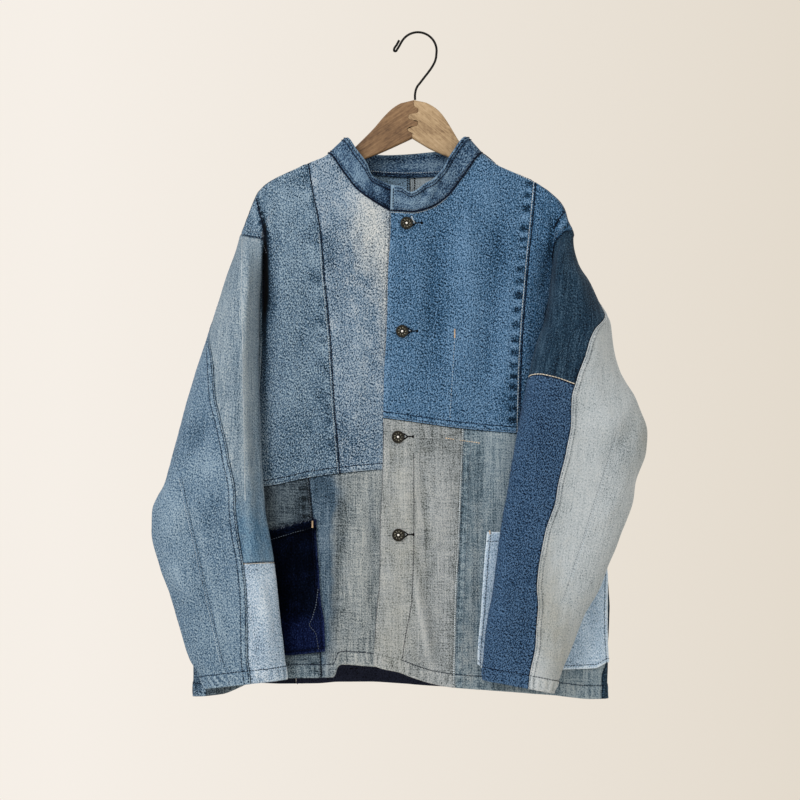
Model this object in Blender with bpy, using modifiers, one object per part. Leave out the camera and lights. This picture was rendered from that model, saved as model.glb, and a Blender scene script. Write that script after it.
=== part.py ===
"""Patched boro jacket, hung on a wooden hanger with a wire hook.

The jacket is a flat hanging tube of denim, a band collar, two pockets and two sleeves that hang
forward of the body. Every piece that a maker cuts is one wall of cloth, laid on one of three
surfaces: the body, a sleeve or the collar. X runs to the wearer's left, -Y is the front, +Z is up.
The origin is under the crown of the hook. Tables are in millimetres and degrees.
"""
import math

import bmesh
import bpy
import numpy as np
from mathutils import Matrix, Vector

MM = 0.001

CLOTH = 1.6             # wall of the denim
SEAM_GAP = 0.3          # space between two pieces that are sewn together
RIDGE_GAP = 0.6         # from the shoulder line to the edge of a front or back piece
ARMHOLE_LIFT = 2.4      # the edge of a sleeve lies this far outside the body's cloth
UNDERARM_LIFT = 1.2     # and this much more under the arm
TIP_OUT = 2.6           # and this much further out past the tip of the shoulder
OVERLAP = 28.0          # how far the right front runs on under the left front
LAP_LIFT = 2.2          # the left front stands this far outside the right front
POCKET_LIFT = 3.0       # a pocket stands this far outside the front it is sewn to
COLLAR_WALL = 2.0       # the collar band is two layers pressed together
BODY_SQUARENESS = 3.0   # 2 is an ellipse, more is a flatter front with tighter sides
SHOULDER_RADIUS = 12.0  # bend of the cloth over the arms of the hanger
SHOULDER_SPREAD = 0.19  # how fast front and back part below the shoulder line
SLEEVE_CLEAR = 3.2      # from the middle of the body's cloth to the middle of a sleeve's
POCKET_CLEAR = 4.2      # more room for the sleeves in front of the pockets
SLEEVE_FULLNESS = 0.8   # 1 is an ellipse, less is a flatter front with tighter edges
HEAD_LENGTH = 70.0      # over this length the sleeve leaves the armhole for its own shape
WOOD_HALF = 5.5         # half of the hanger's thickness
WIRE = 1.4              # radius of the hook's wire
HOOK_RADIUS = 24.0      # of the middle of the wire, round the crown

COLLECTION = "patched_boro_jacket"
WOOD_BROWN = (0.26, 0.15, 0.085)
WOOD_TAN = (0.42, 0.27, 0.15)


def table(columns, *rows):
    """Named columns of numbers, one row for each section."""
    return {name: np.array(column, float) for name, column in zip(columns.split(), zip(*rows))}


def smooth(rows, key, column):
    """A function that runs smoothly through one column and never overshoots it."""
    order = np.argsort(rows[key])
    places = rows[key][order]
    values = rows[column][order]
    steps = np.diff(places)
    slopes = np.diff(values) / steps
    tangents = np.zeros(len(places))
    tangents[0] = slopes[0]
    tangents[-1] = slopes[-1]
    for i in range(1, len(slopes)):
        before, after = slopes[i - 1], slopes[i]
        if before * after > 0:
            near = 2 * steps[i] + steps[i - 1]
            far = steps[i] + 2 * steps[i - 1]
            tangents[i] = (near + far) / (near / before + far / after)

    def value(at):
        at = np.clip(np.asarray(at, float), places[0], places[-1])
        i = np.clip(np.searchsorted(places, at) - 1, 0, len(steps) - 1)
        t = (at - places[i]) / steps[i]
        rise = values[i + 1] - values[i]
        bend = steps[i] * t * (1 - t) * (tangents[i] * (1 - t) - tangents[i + 1] * t)
        return values[i] + rise * t * t * (3 - 2 * t) + bend

    return value


def columns_of(rows, key):
    """Each column of a table as a smooth function of its key column."""
    return {name: smooth(rows, key, name) for name in rows if name != key}


def blend(start, end, share):
    return start + (end - start) * share


def ramp(value, start, end):
    """0 before start, 1 past end, with a smooth rise between."""
    t = np.clip((value - start) / (end - start), 0, 1)
    return t * t * (3 - 2 * t)


# The body as level rings: its two side edges, and how far front and back stand off the middle.
BODY = columns_of(table(
    "z     left  right  front  back",
    (-150, -228, 200.0, 38, 26),
    (-257, -228, 200.0, 38, 28),
    (-266, -220, 192.0, 38, 28),
    (-285, -207, 180.0, 39, 29),
    (-341, -205, 175.0, 40, 30),
    (-400, -206, 174.0, 41, 30),
    (-470, -212, 181.0, 42, 31),
    (-520, -228, 198.0, 42, 31),
    (-580, -250, 219.0, 42, 30),
    (-650, -268, 236.0, 41, 29),
    (-739, -281, 246.4, 39, 28),
    (-800, -287, 243.0, 37, 27),
    (-855, -287, 242.0, 36, 26)), "z")

# The shoulder line, with the arch that it would take across the open neck.
RIDGE = smooth(table(
    "x       z",
    (-227.8, -257.3),
    (-220.0, -237.0),
    (-211.0, -213.8),
    (-206.0, -203.5),
    (-190.7, -189.4),
    (-165.0, -176.6),
    (-142.0, -166.4),
    (-121.6, -158.2),
    (-112.6, -153.6),
    (-90.0, -140.0),
    (-16.0, -118.0),
    (58.0, -138.0),
    (80.6, -153.0),
    (106.0, -170.8),
    (122.0, -177.4),
    (151.6, -190.7),
    (175.0, -207.4),
    (189.4, -225.3),
    (192.8, -238.0),
    (199.7, -251.5)), "x", "z")

# Soft folds of the body: where each begins and ends, how wide it is and how far it stands out.
FOLD_COLUMNS = "x_top z_top x_end z_end width height"
FRONT_FOLDS = table(
    FOLD_COLUMNS,
    (-176, -215, -172, -560, 20, 3.0),
    (-128, -300, -118, -600, 34, -3.0),
    (-88, -330, -96, -660, 28, 3.0),
    (22, -240, 8, -520, 30, -2.0),
    (138, -262, 118, -500, 22, 3.0),
    (88, -400, 96, -640, 26, -3.0),
    (48, -560, 14, -850, 16, -3.0),
    (66, -560, 44, -850, 20, 3.5),
    (-236, -600, -258, -858, 22, 3.0),
    (-196, -620, -210, -858, 24, -3.0),
    (-152, -640, -160, -858, 26, 3.0),
    (-92, -660, -88, -858, 20, -3.0),
    (112, -660, 118, -858, 22, -4.0),
    (166, -640, 174, -858, 24, 4.5),
    (214, -660, 214, -858, 16, -3.0))
BACK_FOLDS = table(
    FOLD_COLUMNS,
    (-150, -230, -135, -620, 26, 4.0),
    (-95, -300, -90, -700, 26, -3.5),
    (-30, -260, -45, -640, 32, 3.0),
    (60, -300, 66, -700, 28, -4.0),
    (118, -240, 120, -640, 24, 4.5),
    (-210, -600, -225, -858, 22, -4.5),
    (-160, -620, -168, -858, 24, 5.0),
    (-70, -600, -66, -858, 26, 4.5),
    (-10, -640, -4, -858, 24, -4.0),
    (70, -600, 76, -858, 24, 4.5),
    (150, -620, 160, -858, 26, -4.5),
    (200, -640, 206, -858, 18, 3.5))

# Edges of the front and back pieces at the sides, in degrees round from the side edge towards
# the front. Down to the underarm the two are apart and bound the armhole; below it they are sewn.
SIDES = {
    "right": columns_of(table(
        "z       front  back",
        (-257.3, 2.0, -2.0),
        (-260.0, 14.0, -14.0),
        (-265.0, 27.0, -24.0),
        (-275.0, 21.0, -19.0),
        (-285.0, 16.5, -16.0),
        (-341.0, 14.0, -14.0),
        (-400.0, 14.0, -13.0),
        (-435.0, 15.0, -7.0),
        (-458.0, 15.0, 4.0),
        (-470.0, 15.0, 15.0),
        (-560.0, 15.0, 15.0),
        (-650.0, 16.0, 16.0),
        (-860.0, 20.6, 20.6)), "z"),
    "left": columns_of(table(
        "z       front  back",
        (-251.5, 3.0, -3.0),
        (-253.5, 16.0, -14.0),
        (-258.6, 25.0, -22.0),
        (-266.0, 27.0, -22.0),
        (-285.0, 20.0, -18.0),
        (-320.0, 16.0, -15.0),
        (-366.0, 18.0, -14.0),
        (-400.0, 18.0, -13.0),
        (-435.0, 16.5, -7.0),
        (-458.0, 15.0, 4.0),
        (-470.0, 15.0, 15.0),
        (-560.0, 13.0, 13.0),
        (-860.0, 13.0, 13.0)), "z")}
UNDERARM = -470.0


def folds_at(folds, x, z):
    """How far the folds of one side push the cloth out at a place."""
    push = 0.0
    for i in range(len(folds["width"])):
        top, end = folds["z_top"][i], folds["z_end"][i]
        share = (top - z) / (top - end)
        middle = blend(folds["x_top"][i], folds["x_end"][i], share)
        along = ramp(share, 0, 0.35) * (1 - ramp(share, 0.85, 1.25))
        push = push + folds["height"][i] * along * np.exp(-((x - middle) / folds["width"][i]) ** 2)
    return push


def body_point(turn, z):
    """A place on the body. Turn is 0 at the centre front, -90 and 90 at the sides, 180 behind."""
    turn = np.radians(turn)
    left, right = BODY["left"](z), BODY["right"](z)
    across = np.sin(turn)
    x = (left + right) / 2 + across * (right - left) / 2
    out = (1 - np.abs(across) ** BODY_SQUARENESS + 1e-9) ** (1 / BODY_SQUARENESS)
    front = np.cos(turn) > 0
    flat = out * np.where(front, BODY["front"](z), BODY["back"](z)) + 1e-6
    below = np.maximum(RIDGE(x) - z, 0)
    bend = np.sqrt(np.maximum(SHOULDER_RADIUS ** 2 - (SHOULDER_RADIUS - below) ** 2, 1e-9))
    spread = SHOULDER_RADIUS + SHOULDER_SPREAD * (below - SHOULDER_RADIUS)
    over_hanger = np.where(below < SHOULDER_RADIUS, bend, spread)
    depth = (flat ** -4 + over_hanger ** -4) ** -0.25
    push = np.where(front, folds_at(FRONT_FOLDS, x, z), folds_at(BACK_FOLDS, x, z))
    depth = depth + push * ramp(flat, 12, 30) * ramp(below, 8, 60)
    return np.stack([x, np.where(front, -depth, depth), z + 0 * x], axis=-1)


def across_at(x, z):
    left, right = BODY["left"](z), BODY["right"](z)
    return np.degrees(np.arcsin(np.clip((2 * x - left - right) / (right - left), -1, 1)))


def on_front(x, z):
    return across_at(x, z)


def on_back(x, z):
    return 180 - across_at(x, z)


def front_edge(side, shift=0.0):
    """The side edge of a front piece, as a turn at each height."""
    if side == "right":
        return lambda z: -90 + SIDES["right"]["front"](z) + shift
    return lambda z: 90 - SIDES["left"]["front"](z) - shift


def back_edge(side, shift=0.0):
    if side == "right":
        return lambda z: 270 + SIDES["right"]["back"](z) - shift
    return lambda z: 90 - SIDES["left"]["back"](z) + shift


# Seams that run down the body: place across at each height.
def seam(*rows):
    return smooth(table("z x", *rows), "z", "x")


CHEST_SEAM_RIGHT = seam((-160, -142), (-201.6, -135.7), (-254.7, -125.4), (-313.6, -120.3),
                        (-393.6, -112.6), (-478.7, -107.5), (-570, -99.8), (-610, -97))
CHEST_SEAM_LEFT = seam((-180, 151.6), (-239.4, 146), (-284, 141.3), (-343, 136.2),
                       (-370, 133.9), (-427.5, 130.6), (-503, 128.8), (-540, 128))
SKIRT_SEAM_RIGHT = seam((-560, -141), (-622, -134.8), (-740, -127), (-860, -123))
SKIRT_SEAM_LEFT = seam((-500, 58.5), (-589, 55), (-650, 52.5), (-728, 48.6), (-860, 46.5))
FRONT_EDGE = seam((-220, -35), (-240, -34.5), (-314, -38.4), (-376, -39.7), (-445.4, -43.5),
                  (-559.4, -45.4), (-631, -48.6), (-705, -49.2), (-726, -51.8), (-815, -57.5))
BACK_SEAM_TOP = seam((-170, -10), (-560, -8))
BACK_SEAM_RIGHT = seam((-540, -150), (-860, -158))
BACK_SEAM_LEFT = seam((-540, 96), (-860, 104))


def level(*rows):
    """A seam or an edge that runs across the body: height at each place across."""
    return smooth(table("x z", *rows), "x", "z")


NECK_RIGHT = level((-150, -170), (-142, -166.4), (-121.6, -158.2), (-112.6, -153.6), (-96, -174),
                   (-76.8, -198.4), (-57.6, -212.5), (-37, -224.5), (-31, -226.6), (0, -227.5))
NECK_LEFT = level((-40, -226.5), (-31, -226.6), (-7.7, -227.5), (14, -222.7), (35.8, -208.6),
                  (58, -180.5), (80.6, -153), (106, -170.8), (122, -177.4), (151.6, -190.7))
NECK_BACK = level((-112.6, -153.6), (-91, -171), (-55, -179), (-13, -181.5), (28, -180),
                  (60, -170), (80.6, -153))
WAIST_RIGHT = level((-260, -583), (-235, -583), (-194.6, -580), (-140, -569), (-97, -563),
                    (-48, -558.5), (0, -556.5))
WAIST_LEFT = level((-60, -490.8), (-42.6, -492.8), (65.3, -507), (126, -512), (178, -515), (230, -515))
WAIST_BACK = level((-260, -585.7), (-243, -583), (190, -515), (230, -508.7))
HEM_RIGHT = level((-270, -848.6), (-249, -845.4), (-225, -835.8), (-210, -828.8), (-168, -824.8),
                  (-107, -823.8), (-103, -811), (-97, -807.7), (-60.7, -810), (0, -814))
HEM_LEFT = level((-60, -806), (-50, -811.5), (-23, -817.9), (-5, -825), (18, -832), (45, -836.6),
                 (84.5, -840), (120, -843), (174, -847), (222, -852.5), (245, -852.5))
HEM_BACK = level((-287, -850), (-270, -848.6), (-212, -833.5), (-109, -825.6), (-61, -828),
                 (-23, -828.5), (18, -832), (100, -838), (190, -847), (222, -852.5), (245, -852.5))


def corner(line, edge, z):
    """Where a line down the body meets an edge across it."""
    for _ in range(30):
        z = float(edge(body_point(line(z), z)[..., 0]))
    return float(line(z)), z


def shares(count, ease=1.0):
    """Even shares of a length, closer together at its start where ease is above 1."""
    return np.linspace(0, 1, count + 1) ** ease


def split_shares(split, before, after, ease=1.0):
    """Shares of a length, with one of them at a given place on it."""
    return np.concatenate([split * shares(before, ease), blend(split, 1, shares(after))[1:]])


def upper_shares(side_line, waist):
    """Shares of the way down an upper piece, with one of them at the underarm."""
    top, bottom = corner(side_line, RIDGE, -250)[1], corner(side_line, waist, -550)[1]
    return split_shares((UNDERARM - top) / (bottom - top), 10, 4, 2.0)


def body_sheet(left, right, top, bottom, columns, rows, reach=1):
    """Turns and heights between two lines down the body and two edges across it.

    The columns follow the lines less and less away from them; a higher reach fades this sooner.
    """
    u, v = np.meshgrid(columns, rows)
    corners = {(i, j): corner(line, edge, start)
               for i, line in enumerate((left, right))
               for j, (edge, start) in enumerate(((top, -250), (bottom, -700)))}

    def across(edge, number):
        turn = blend(corners[0, number][0], corners[1, number][0], u)
        z = blend(corners[0, number][1], corners[1, number][1], u)
        for _ in range(8):
            z = edge(body_point(turn, z)[..., 0])
        return z

    turn = blend(blend(corners[0, 0][0], corners[1, 0][0], u),
                 blend(corners[0, 1][0], corners[1, 1][0], u), v)
    for i, (line, share) in enumerate(((left, 1 - u), (right, u))):
        z = blend(corners[i, 0][1], corners[i, 1][1], v)
        straight = blend(corners[i, 0][0], corners[i, 1][0], v)
        turn = turn + (line(z) - straight) * share ** reach
    return turn, blend(across(top, 0), across(bottom, 1), v)


def cloth_lift(turn, z, lift):
    """Points of the body's surface, moved out by the lift."""
    step = 0.2
    along = body_point(turn + step, z) - body_point(turn - step, z)
    down = body_point(turn, z - step) - body_point(turn, z + step)
    outward = np.cross(down, along)
    outward /= np.linalg.norm(outward, axis=-1, keepdims=True)
    points = body_point(turn, z)
    near_ridge = RIDGE(points[..., 0]) - z < 2.5
    kept_off = np.sign(points[..., 1]) * np.maximum(np.abs(points[..., 1]), RIDGE_GAP)
    points[..., 1] = np.where(near_ridge, kept_off, points[..., 1])
    return points + outward * np.asarray(lift)[..., None]


def lap_lift(x):
    """The left front lies over the right front at the middle, and meets the back at the sides."""
    return LAP_LIFT * (1 - ramp(x, 0, 60))


# The sleeves as level rings: their outer and inner edges, where those stand from the middle of
# the body, and how far the front and the back of the sleeve stand off the line between them.
SLEEVE_COLUMNS = "z outer inner y_outer y_inner front back"
SLEEVES = {
    "right": columns_of(table(
        SLEEVE_COLUMNS,
        (-257, -228, -200.0, 0, -2, 26, 24),
        (-270, -231, -202.0, 0, -6, 32, 26),
        (-310, -244.5, -203.0, -1, -12, 40, 30),
        (-371, -263.7, -203.5, -3, -20, 44, 32),
        (-427, -282, -203.5, -6, -30, 42, 28),
        (-488, -299.5, -201.0, -12, -44, 36, 18),
        (-548, -315, -198.4, -22, -52, 30, 12),
        (-579, -323.3, -196.5, -28, -56, 27, 11),
        (-609, -337.9, -194.6, -34, -59, 24, 11),
        (-637, -339.2, -190.0, -38, -61, 22, 11),
        (-677, -329.3, -183.5, -42, -62, 21, 12),
        (-716, -315.6, -179.0, -45, -62, 20, 12),
        (-755, -303.9, -174.3, -48, -62, 19, 12),
        (-800, -290.2, -169.3, -50, -61, 18, 12),
        (-822, -277, -168.0, -51, -60, 17, 12),
        (-840, -269, -167.5, -52, -60, 16, 12)), "z"),
    "left": columns_of(table(
        SLEEVE_COLUMNS,
        (-251, 200.0, 176.0, 0, -2, 24, 24),
        (-266, 199.5, 170.2, 0, -6, 30, 26),
        (-294, 203.5, 169.6, 0, -12, 36, 28),
        (-316, 217.6, 169.0, -1, -15, 38, 28),
        (-350, 234.0, 165.0, -3, -20, 38, 28),
        (-372, 246.4, 161.5, -4, -25, 37, 27),
        (-397, 249.1, 152.5, -6, -32, 36, 25),
        (-431, 257.3, 143.8, -9, -41, 33, 20),
        (-454, 269.7, 138.5, -10, -45, 31, 15),
        (-477, 282.4, 133.0, -12, -48, 29, 11),
        (-513, 293.1, 126.5, -15, -51, 27, 9),
        (-535, 291.3, 122.7, -18, -53, 25, 9),
        (-577, 276.5, 115.5, -24, -56, 23, 9),
        (-603, 272.3, 111.0, -28, -58, 22, 9),
        (-640, 258.6, 104.7, -34, -60, 21, 9),
        (-676, 243.7, 100.4, -40, -61, 20, 9),
        (-718, 226.6, 95.0, -46, -61, 19, 9),
        (-742, 212.5, 90.8, -48, -61, 18, 10),
        (-786, 194.6, 84.6, -51, -60, 17, 10),
        (-820, 180.5, 82.8, -53, -59, 16, 11),
        (-848, 169.5, 87.0, -54, -59, 15, 11)), "z")}

# Height of the armhole round each sleeve: around is 0 at the inner edge, 90 in front, 180 at
# the outer edge and 270 behind.
ARMHOLES = {
    "right": level((-40, -470), (-32, -440), (-24, -400), (-12, -341), (2, -285), (10, -272),
                   (18, -265), (60, -262), (120, -259.5), (180, -257.3), (240, -259.5),
                   (280, -263), (288, -268), (297, -300), (303, -341), (310, -400),
                   (315, -440), (320, -470)),
    "left": level((-60, -470), (-54, -440), (-44, -410), (-26, -366), (-9, -320), (4, -285),
                  (12, -270), (20, -263), (70, -256), (120, -253), (180, -251.5), (240, -254),
                  (266, -257), (274, -268), (281, -300), (286, -341), (292, -400),
                  (296, -440), (300, -470))}
ARM_SEAM = {"right": -40.0, "left": -60.0}
CUFF_MIDDLE = {"right": -831.0, "left": -834.3}
CUFF_TILT = {"right": 6.0, "left": 8.7}

# The felled seam between the front and the outer cloth of a sleeve, as around at each height.
FELLED_SEAM = {
    "right": seam((-250, 222), (-290, 200), (-371, 180), (-411, 132), (-427.5, 120),
                  (-471, 102), (-488, 93), (-539, 75), (-609, 62), (-657, 62), (-696, 63),
                  (-755, 70), (-808, 78), (-845, 83)),
    "left": seam((-250, 222), (-300, 200), (-352, 174), (-381, 117), (-415, 103), (-445, 89),
                 (-468, 81), (-500, 79), (-540, 77), (-598, 77), (-635, 74), (-673, 75),
                 (-705, 78), (-738, 89), (-756, 93), (-792, 100), (-816, 101), (-850, 105))}
# Where the upper and lower cloth of a sleeve's front meet, as height at each place around.
SLEEVE_JOIN = {
    "right": level((-40, -676), (40, -676), (60, -677), (90, -676)),
    "left": level((-60, -504), (-44, -484), (-25, -461), (-10, -447), (0, -442), (40, -438),
                  (60, -441), (90, -452))}

# Pressed creases and soft folds down the sleeves.
SLEEVE_FOLD_COLUMNS = "around_top z_top around_end z_end width height"
SLEEVE_FOLDS = {
    "right": table(
        SLEEVE_FOLD_COLUMNS,
        (76, -262, 47, -640, 14, 9.0),
        (47, -600, 52, -820, 16, 4.0),
        (120, -300, 112, -560, 24, -4.0),
        (24, -330, 20, -640, 16, -4.0),
        (150, -430, 128, -760, 18, 3.5),
        (96, -600, 96, -840, 16, -3.0),
        (240, -300, 236, -800, 26, 4.0),
        (285, -480, 280, -800, 22, -2.0)),
    "left": table(
        SLEEVE_FOLD_COLUMNS,
        (60, -262, 52, -520, 22, 4.0),
        (112, -300, 120, -560, 20, 4.0),
        (84, -420, 92, -800, 18, -3.0),
        (34, -400, 40, -800, 20, 3.0),
        (140, -480, 132, -820, 20, 3.0),
        (225, -300, 232, -800, 26, 4.0),
        (280, -480, 282, -800, 20, -2.0))}


def sleeve_fold(side, around, z):
    folds = SLEEVE_FOLDS[side]
    push = 0.0
    for i in range(len(folds["width"])):
        top, end = folds["z_top"][i], folds["z_end"][i]
        share = (top - z) / (top - end)
        middle = blend(folds["around_top"][i], folds["around_end"][i], share)
        along = ramp(share, 0, 0.2) * (1 - ramp(share, 0.85, 1.15))
        push = push + folds["height"][i] * along * np.exp(-((around - middle) / folds["width"][i]) ** 2)
    return push


def sleeve_ring(side, around, z):
    ring = {name: curve(z) for name, curve in SLEEVES[side].items()}
    inward, forward = np.cos(np.radians(around)), np.sin(np.radians(around))
    x = (ring["outer"] + ring["inner"]) / 2 + (ring["inner"] - ring["outer"]) / 2 * inward
    line = (ring["y_outer"] + ring["y_inner"]) / 2 + (ring["y_inner"] - ring["y_outer"]) / 2 * inward
    full = np.abs(forward) ** SLEEVE_FULLNESS
    y = line + np.where(forward > 0, -ring["front"], ring["back"]) * full
    push = sleeve_fold(side, around, z)
    toward = 1 if side == "right" else -1
    return np.stack([x + toward * push * inward * 0.5, y - push * forward, z + 0 * x], axis=-1)


def clear_of_body(points):
    """Points that would lie in the body are moved straight out to just in front of its cloth."""
    x, y, z = points[..., 0], points[..., 1], points[..., 2]
    room = SLEEVE_CLEAR + POCKET_CLEAR * ramp(-z, 590, 628)
    left, right = BODY["left"](z) - room, BODY["right"](z) + room
    for _ in range(10):
        across = np.clip((2 * x - left - right) / (right - left), -0.9999, 0.9999)
        turn = np.degrees(np.arcsin(across))
        turn = np.where(y < 0, turn, 180 - turn)
        out = (1 - np.abs(across) ** BODY_SQUARENESS) ** (1 / BODY_SQUARENESS)
        depth = np.abs(body_point(turn, z)[..., 1]) / out + room
        level_x, level_y = (2 * x - left - right) / (right - left), y / depth
        radius = (np.abs(level_x) ** BODY_SQUARENESS + np.abs(level_y) ** BODY_SQUARENESS)
        radius = radius ** (1 / BODY_SQUARENESS)
        slope_x = np.sign(level_x) * (np.abs(level_x) / radius) ** 2 * 2 / (right - left)
        slope_y = np.sign(level_y) * (np.abs(level_y) / radius) ** 2 / depth
        push = np.maximum(1 - radius, 0) / (slope_x ** 2 + slope_y ** 2)
        x = x + push * slope_x
        y = y + push * slope_y
    return np.stack([x, y, z], axis=-1)


def armhole_point(side, around):
    """A place on the armhole, where the sleeve lies on the edge of the body's pieces."""
    z = ARMHOLES[side](around)
    edge = np.where(around < 180, SIDES[side]["front"](z), SIDES[side]["back"](z))
    away = -1 if side == "right" else 1
    points = cloth_lift(away * (90 - edge), z, ARMHOLE_LIFT + UNDERARM_LIFT * ramp(-z, 380, 440))
    tip = ARMHOLES[side](180)
    points[..., 0] += away * TIP_OUT * ramp(z, tip - 6, tip)
    return points


def sleeve_point(side, around, z):
    """A place on a sleeve, which leaves the armhole and takes its own shape below it."""
    top = ARMHOLES[side](around)
    held = 1 - ramp(top - z, 0, HEAD_LENGTH)
    shift = armhole_point(side, around) - sleeve_ring(side, around, top)
    free = sleeve_ring(side, around, z) + shift * held[..., None]
    return blend(free, clear_of_body(free), ramp(top - z, 0, 8)[..., None])


def cuff(side):
    return lambda around: CUFF_MIDDLE[side] + CUFF_TILT[side] * np.cos(np.radians(around))


def line_end(line, edge, z):
    """The height at which a line down a sleeve meets an edge round it."""
    for _ in range(30):
        z = float(edge(line(z)))
    return z


def sleeve_sheet(low, high, top, bottom, columns, rows):
    """Arounds and heights between two lines down a sleeve and two edges round it."""
    u = columns[None, :]
    v = blend(rows[0][:, None], rows[1][:, None], u)

    def line_down(line, share):
        start, end = line_end(line, top, -300.0), line_end(line, bottom, -700.0)
        return line(blend(start, end, share[:, None]))

    around = blend(line_down(low, rows[0]), line_down(high, rows[1]), u)
    return around, blend(top(around[:1] + 0 * v), bottom(around[-1:] + 0 * v), v)


def armhole_columns(side, heights):
    """The places round the armhole at which it is as high as the rows of the body's pieces."""
    around = np.linspace(ARM_SEAM[side], 180, 2000)
    front = np.interp(heights, ARMHOLES[side](around), around)
    around = np.linspace(ARM_SEAM[side] + 360, 180, 2000)
    return front, np.interp(heights, ARMHOLES[side](around), around)


# The collar band from its left front end, round the back, to the end under the right of the
# neck: where it is sewn, which side of the body that is, and how its top edge stands from there.
COLLAR = table(
    "station  x    over_x  over_y  rise",
    (0, -35.2, 1, -2, 31),
    (1, -8, -2, -5, 23),
    (2, 14, -1, -4, 31),
    (3, 36, -6, -3, 32),
    (4, 58, -14, -1, 28),
    (5, 80.6, -18, 0, 20),
    (6, 60, -13, 4, 26),
    (7, 28, -3, 5, 30),
    (8, -13, 0, 5, 28),
    (9, -55, 2, 4, 25),
    (10, -91, 13, 3, 25),
    (11, -112.6, 21, 0, 20),
    (12, -96, 18, -2, 24),
    (13, -77, 11, -2, 32),
    (14, -57.6, 2, -2, 27),
    (15, -37, 3, -2, 31),
    (16, -14, 2, -2, 30))
LEFT_NECK = 5           # stations at which the band passes the shoulder lines
RIGHT_NECK = 11
COLLAR_FOOT = 1.8       # its lower edge stands this far above the edge of the fronts
COLLAR_FOOT_BEHIND = 2.0    # and this much more above the edge of the back


def collar_foot(station):
    """The places round the neck where the band is sewn on."""
    x = smooth(COLLAR, "station", "x")(station)
    at_back = (station > LEFT_NECK) & (station < RIGHT_NECK)
    at_left = station <= LEFT_NECK
    z = np.where(at_back, NECK_BACK(x), np.where(at_left, NECK_LEFT(x), NECK_RIGHT(x)))
    turn = np.where(at_back, on_back(x, z), on_front(x, z))
    return cloth_lift(turn, z, np.where(at_left, 1.25 * lap_lift(x), 0.0))


def collar_point(station, share):
    foot = collar_foot(station)
    rise = np.stack([smooth(COLLAR, "station", name)(station)
                     for name in ("over_x", "over_y", "rise")], axis=-1)
    length = np.linalg.norm(rise, axis=-1, keepdims=True)
    at_back = (ramp(station, LEFT_NECK - 0.5, LEFT_NECK + 0.3)
               * ramp(-station, -RIGHT_NECK - 0.5, -RIGHT_NECK + 0.3))
    start = (COLLAR_FOOT + at_back[..., None] * COLLAR_FOOT_BEHIND) / length
    return foot + rise * (start + (1 - start) * share[..., None])


def finish(obj, name, colour, roughness, metallic=0.0):
    """Name a piece, give it its material and put it in the jacket's collection."""
    obj.name = name
    material = bpy.data.materials.new(name)
    material.use_nodes = True
    shader = material.node_tree.nodes["Principled BSDF"]
    shader.inputs["Base Color"].default_value = (*colour, 1)
    shader.inputs["Roughness"].default_value = roughness
    shader.inputs["Metallic"].default_value = metallic
    obj.data.materials.append(material)
    for collection in list(obj.users_collection):
        collection.objects.unlink(obj)
    bpy.data.collections[COLLECTION].objects.link(obj)
    return obj


def cloth_piece(name, points, colour, wall=CLOTH):
    """One wall of cloth through a grid of points, with its outside away from the body."""
    rows, columns = points.shape[:2]
    sheet = bmesh.new()
    bmesh.ops.create_grid(sheet, x_segments=columns - 1, y_segments=rows - 1, size=1)
    for vert, point in zip(sheet.verts, points.reshape(-1, 3)):
        vert.co = Vector(point) * MM
    bmesh.ops.reverse_faces(sheet, faces=sheet.faces[:])
    mesh = bpy.data.meshes.new(name)
    sheet.to_mesh(mesh)
    sheet.free()
    mesh.shade_smooth()
    piece = bpy.data.objects.new(name, mesh)
    thickness = piece.modifiers.new("wall", 'SOLIDIFY')
    thickness.thickness = wall * MM
    thickness.offset = 0
    return finish(piece, name, colour, 0.9)


HALF = SEAM_GAP / 2 + 0.1
LOWER_ROWS = shares(8)
BACK_WAIST_HALF = 0.35  # half of the gap along the seam across the back
EDGE_TURN = 0.35        # half of a side seam's gap, in degrees round the body
JOIN_HALF = 0.7         # half of the gap between the upper and lower cloth of a sleeve
SLEEVE_SEAM_HALF = 0.3  # half of the gap of a sleeve's felled seam
HEAD_SEAM = 1.0         # how much wider it is on the tight bend at the sleeve's head
ARM_SEAM_HALF = 0.45    # half of the gap under the arm, in degrees round the sleeve


def beside(line, shift):
    """The edge of a front piece along a seam, half a gap away from it."""
    return lambda z: on_front(line(z) + shift, z)


def behind(line, shift):
    return lambda z: on_back(line(z) + shift, z)


def moved(edge, shift):
    return lambda place: edge(place) + shift


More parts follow.
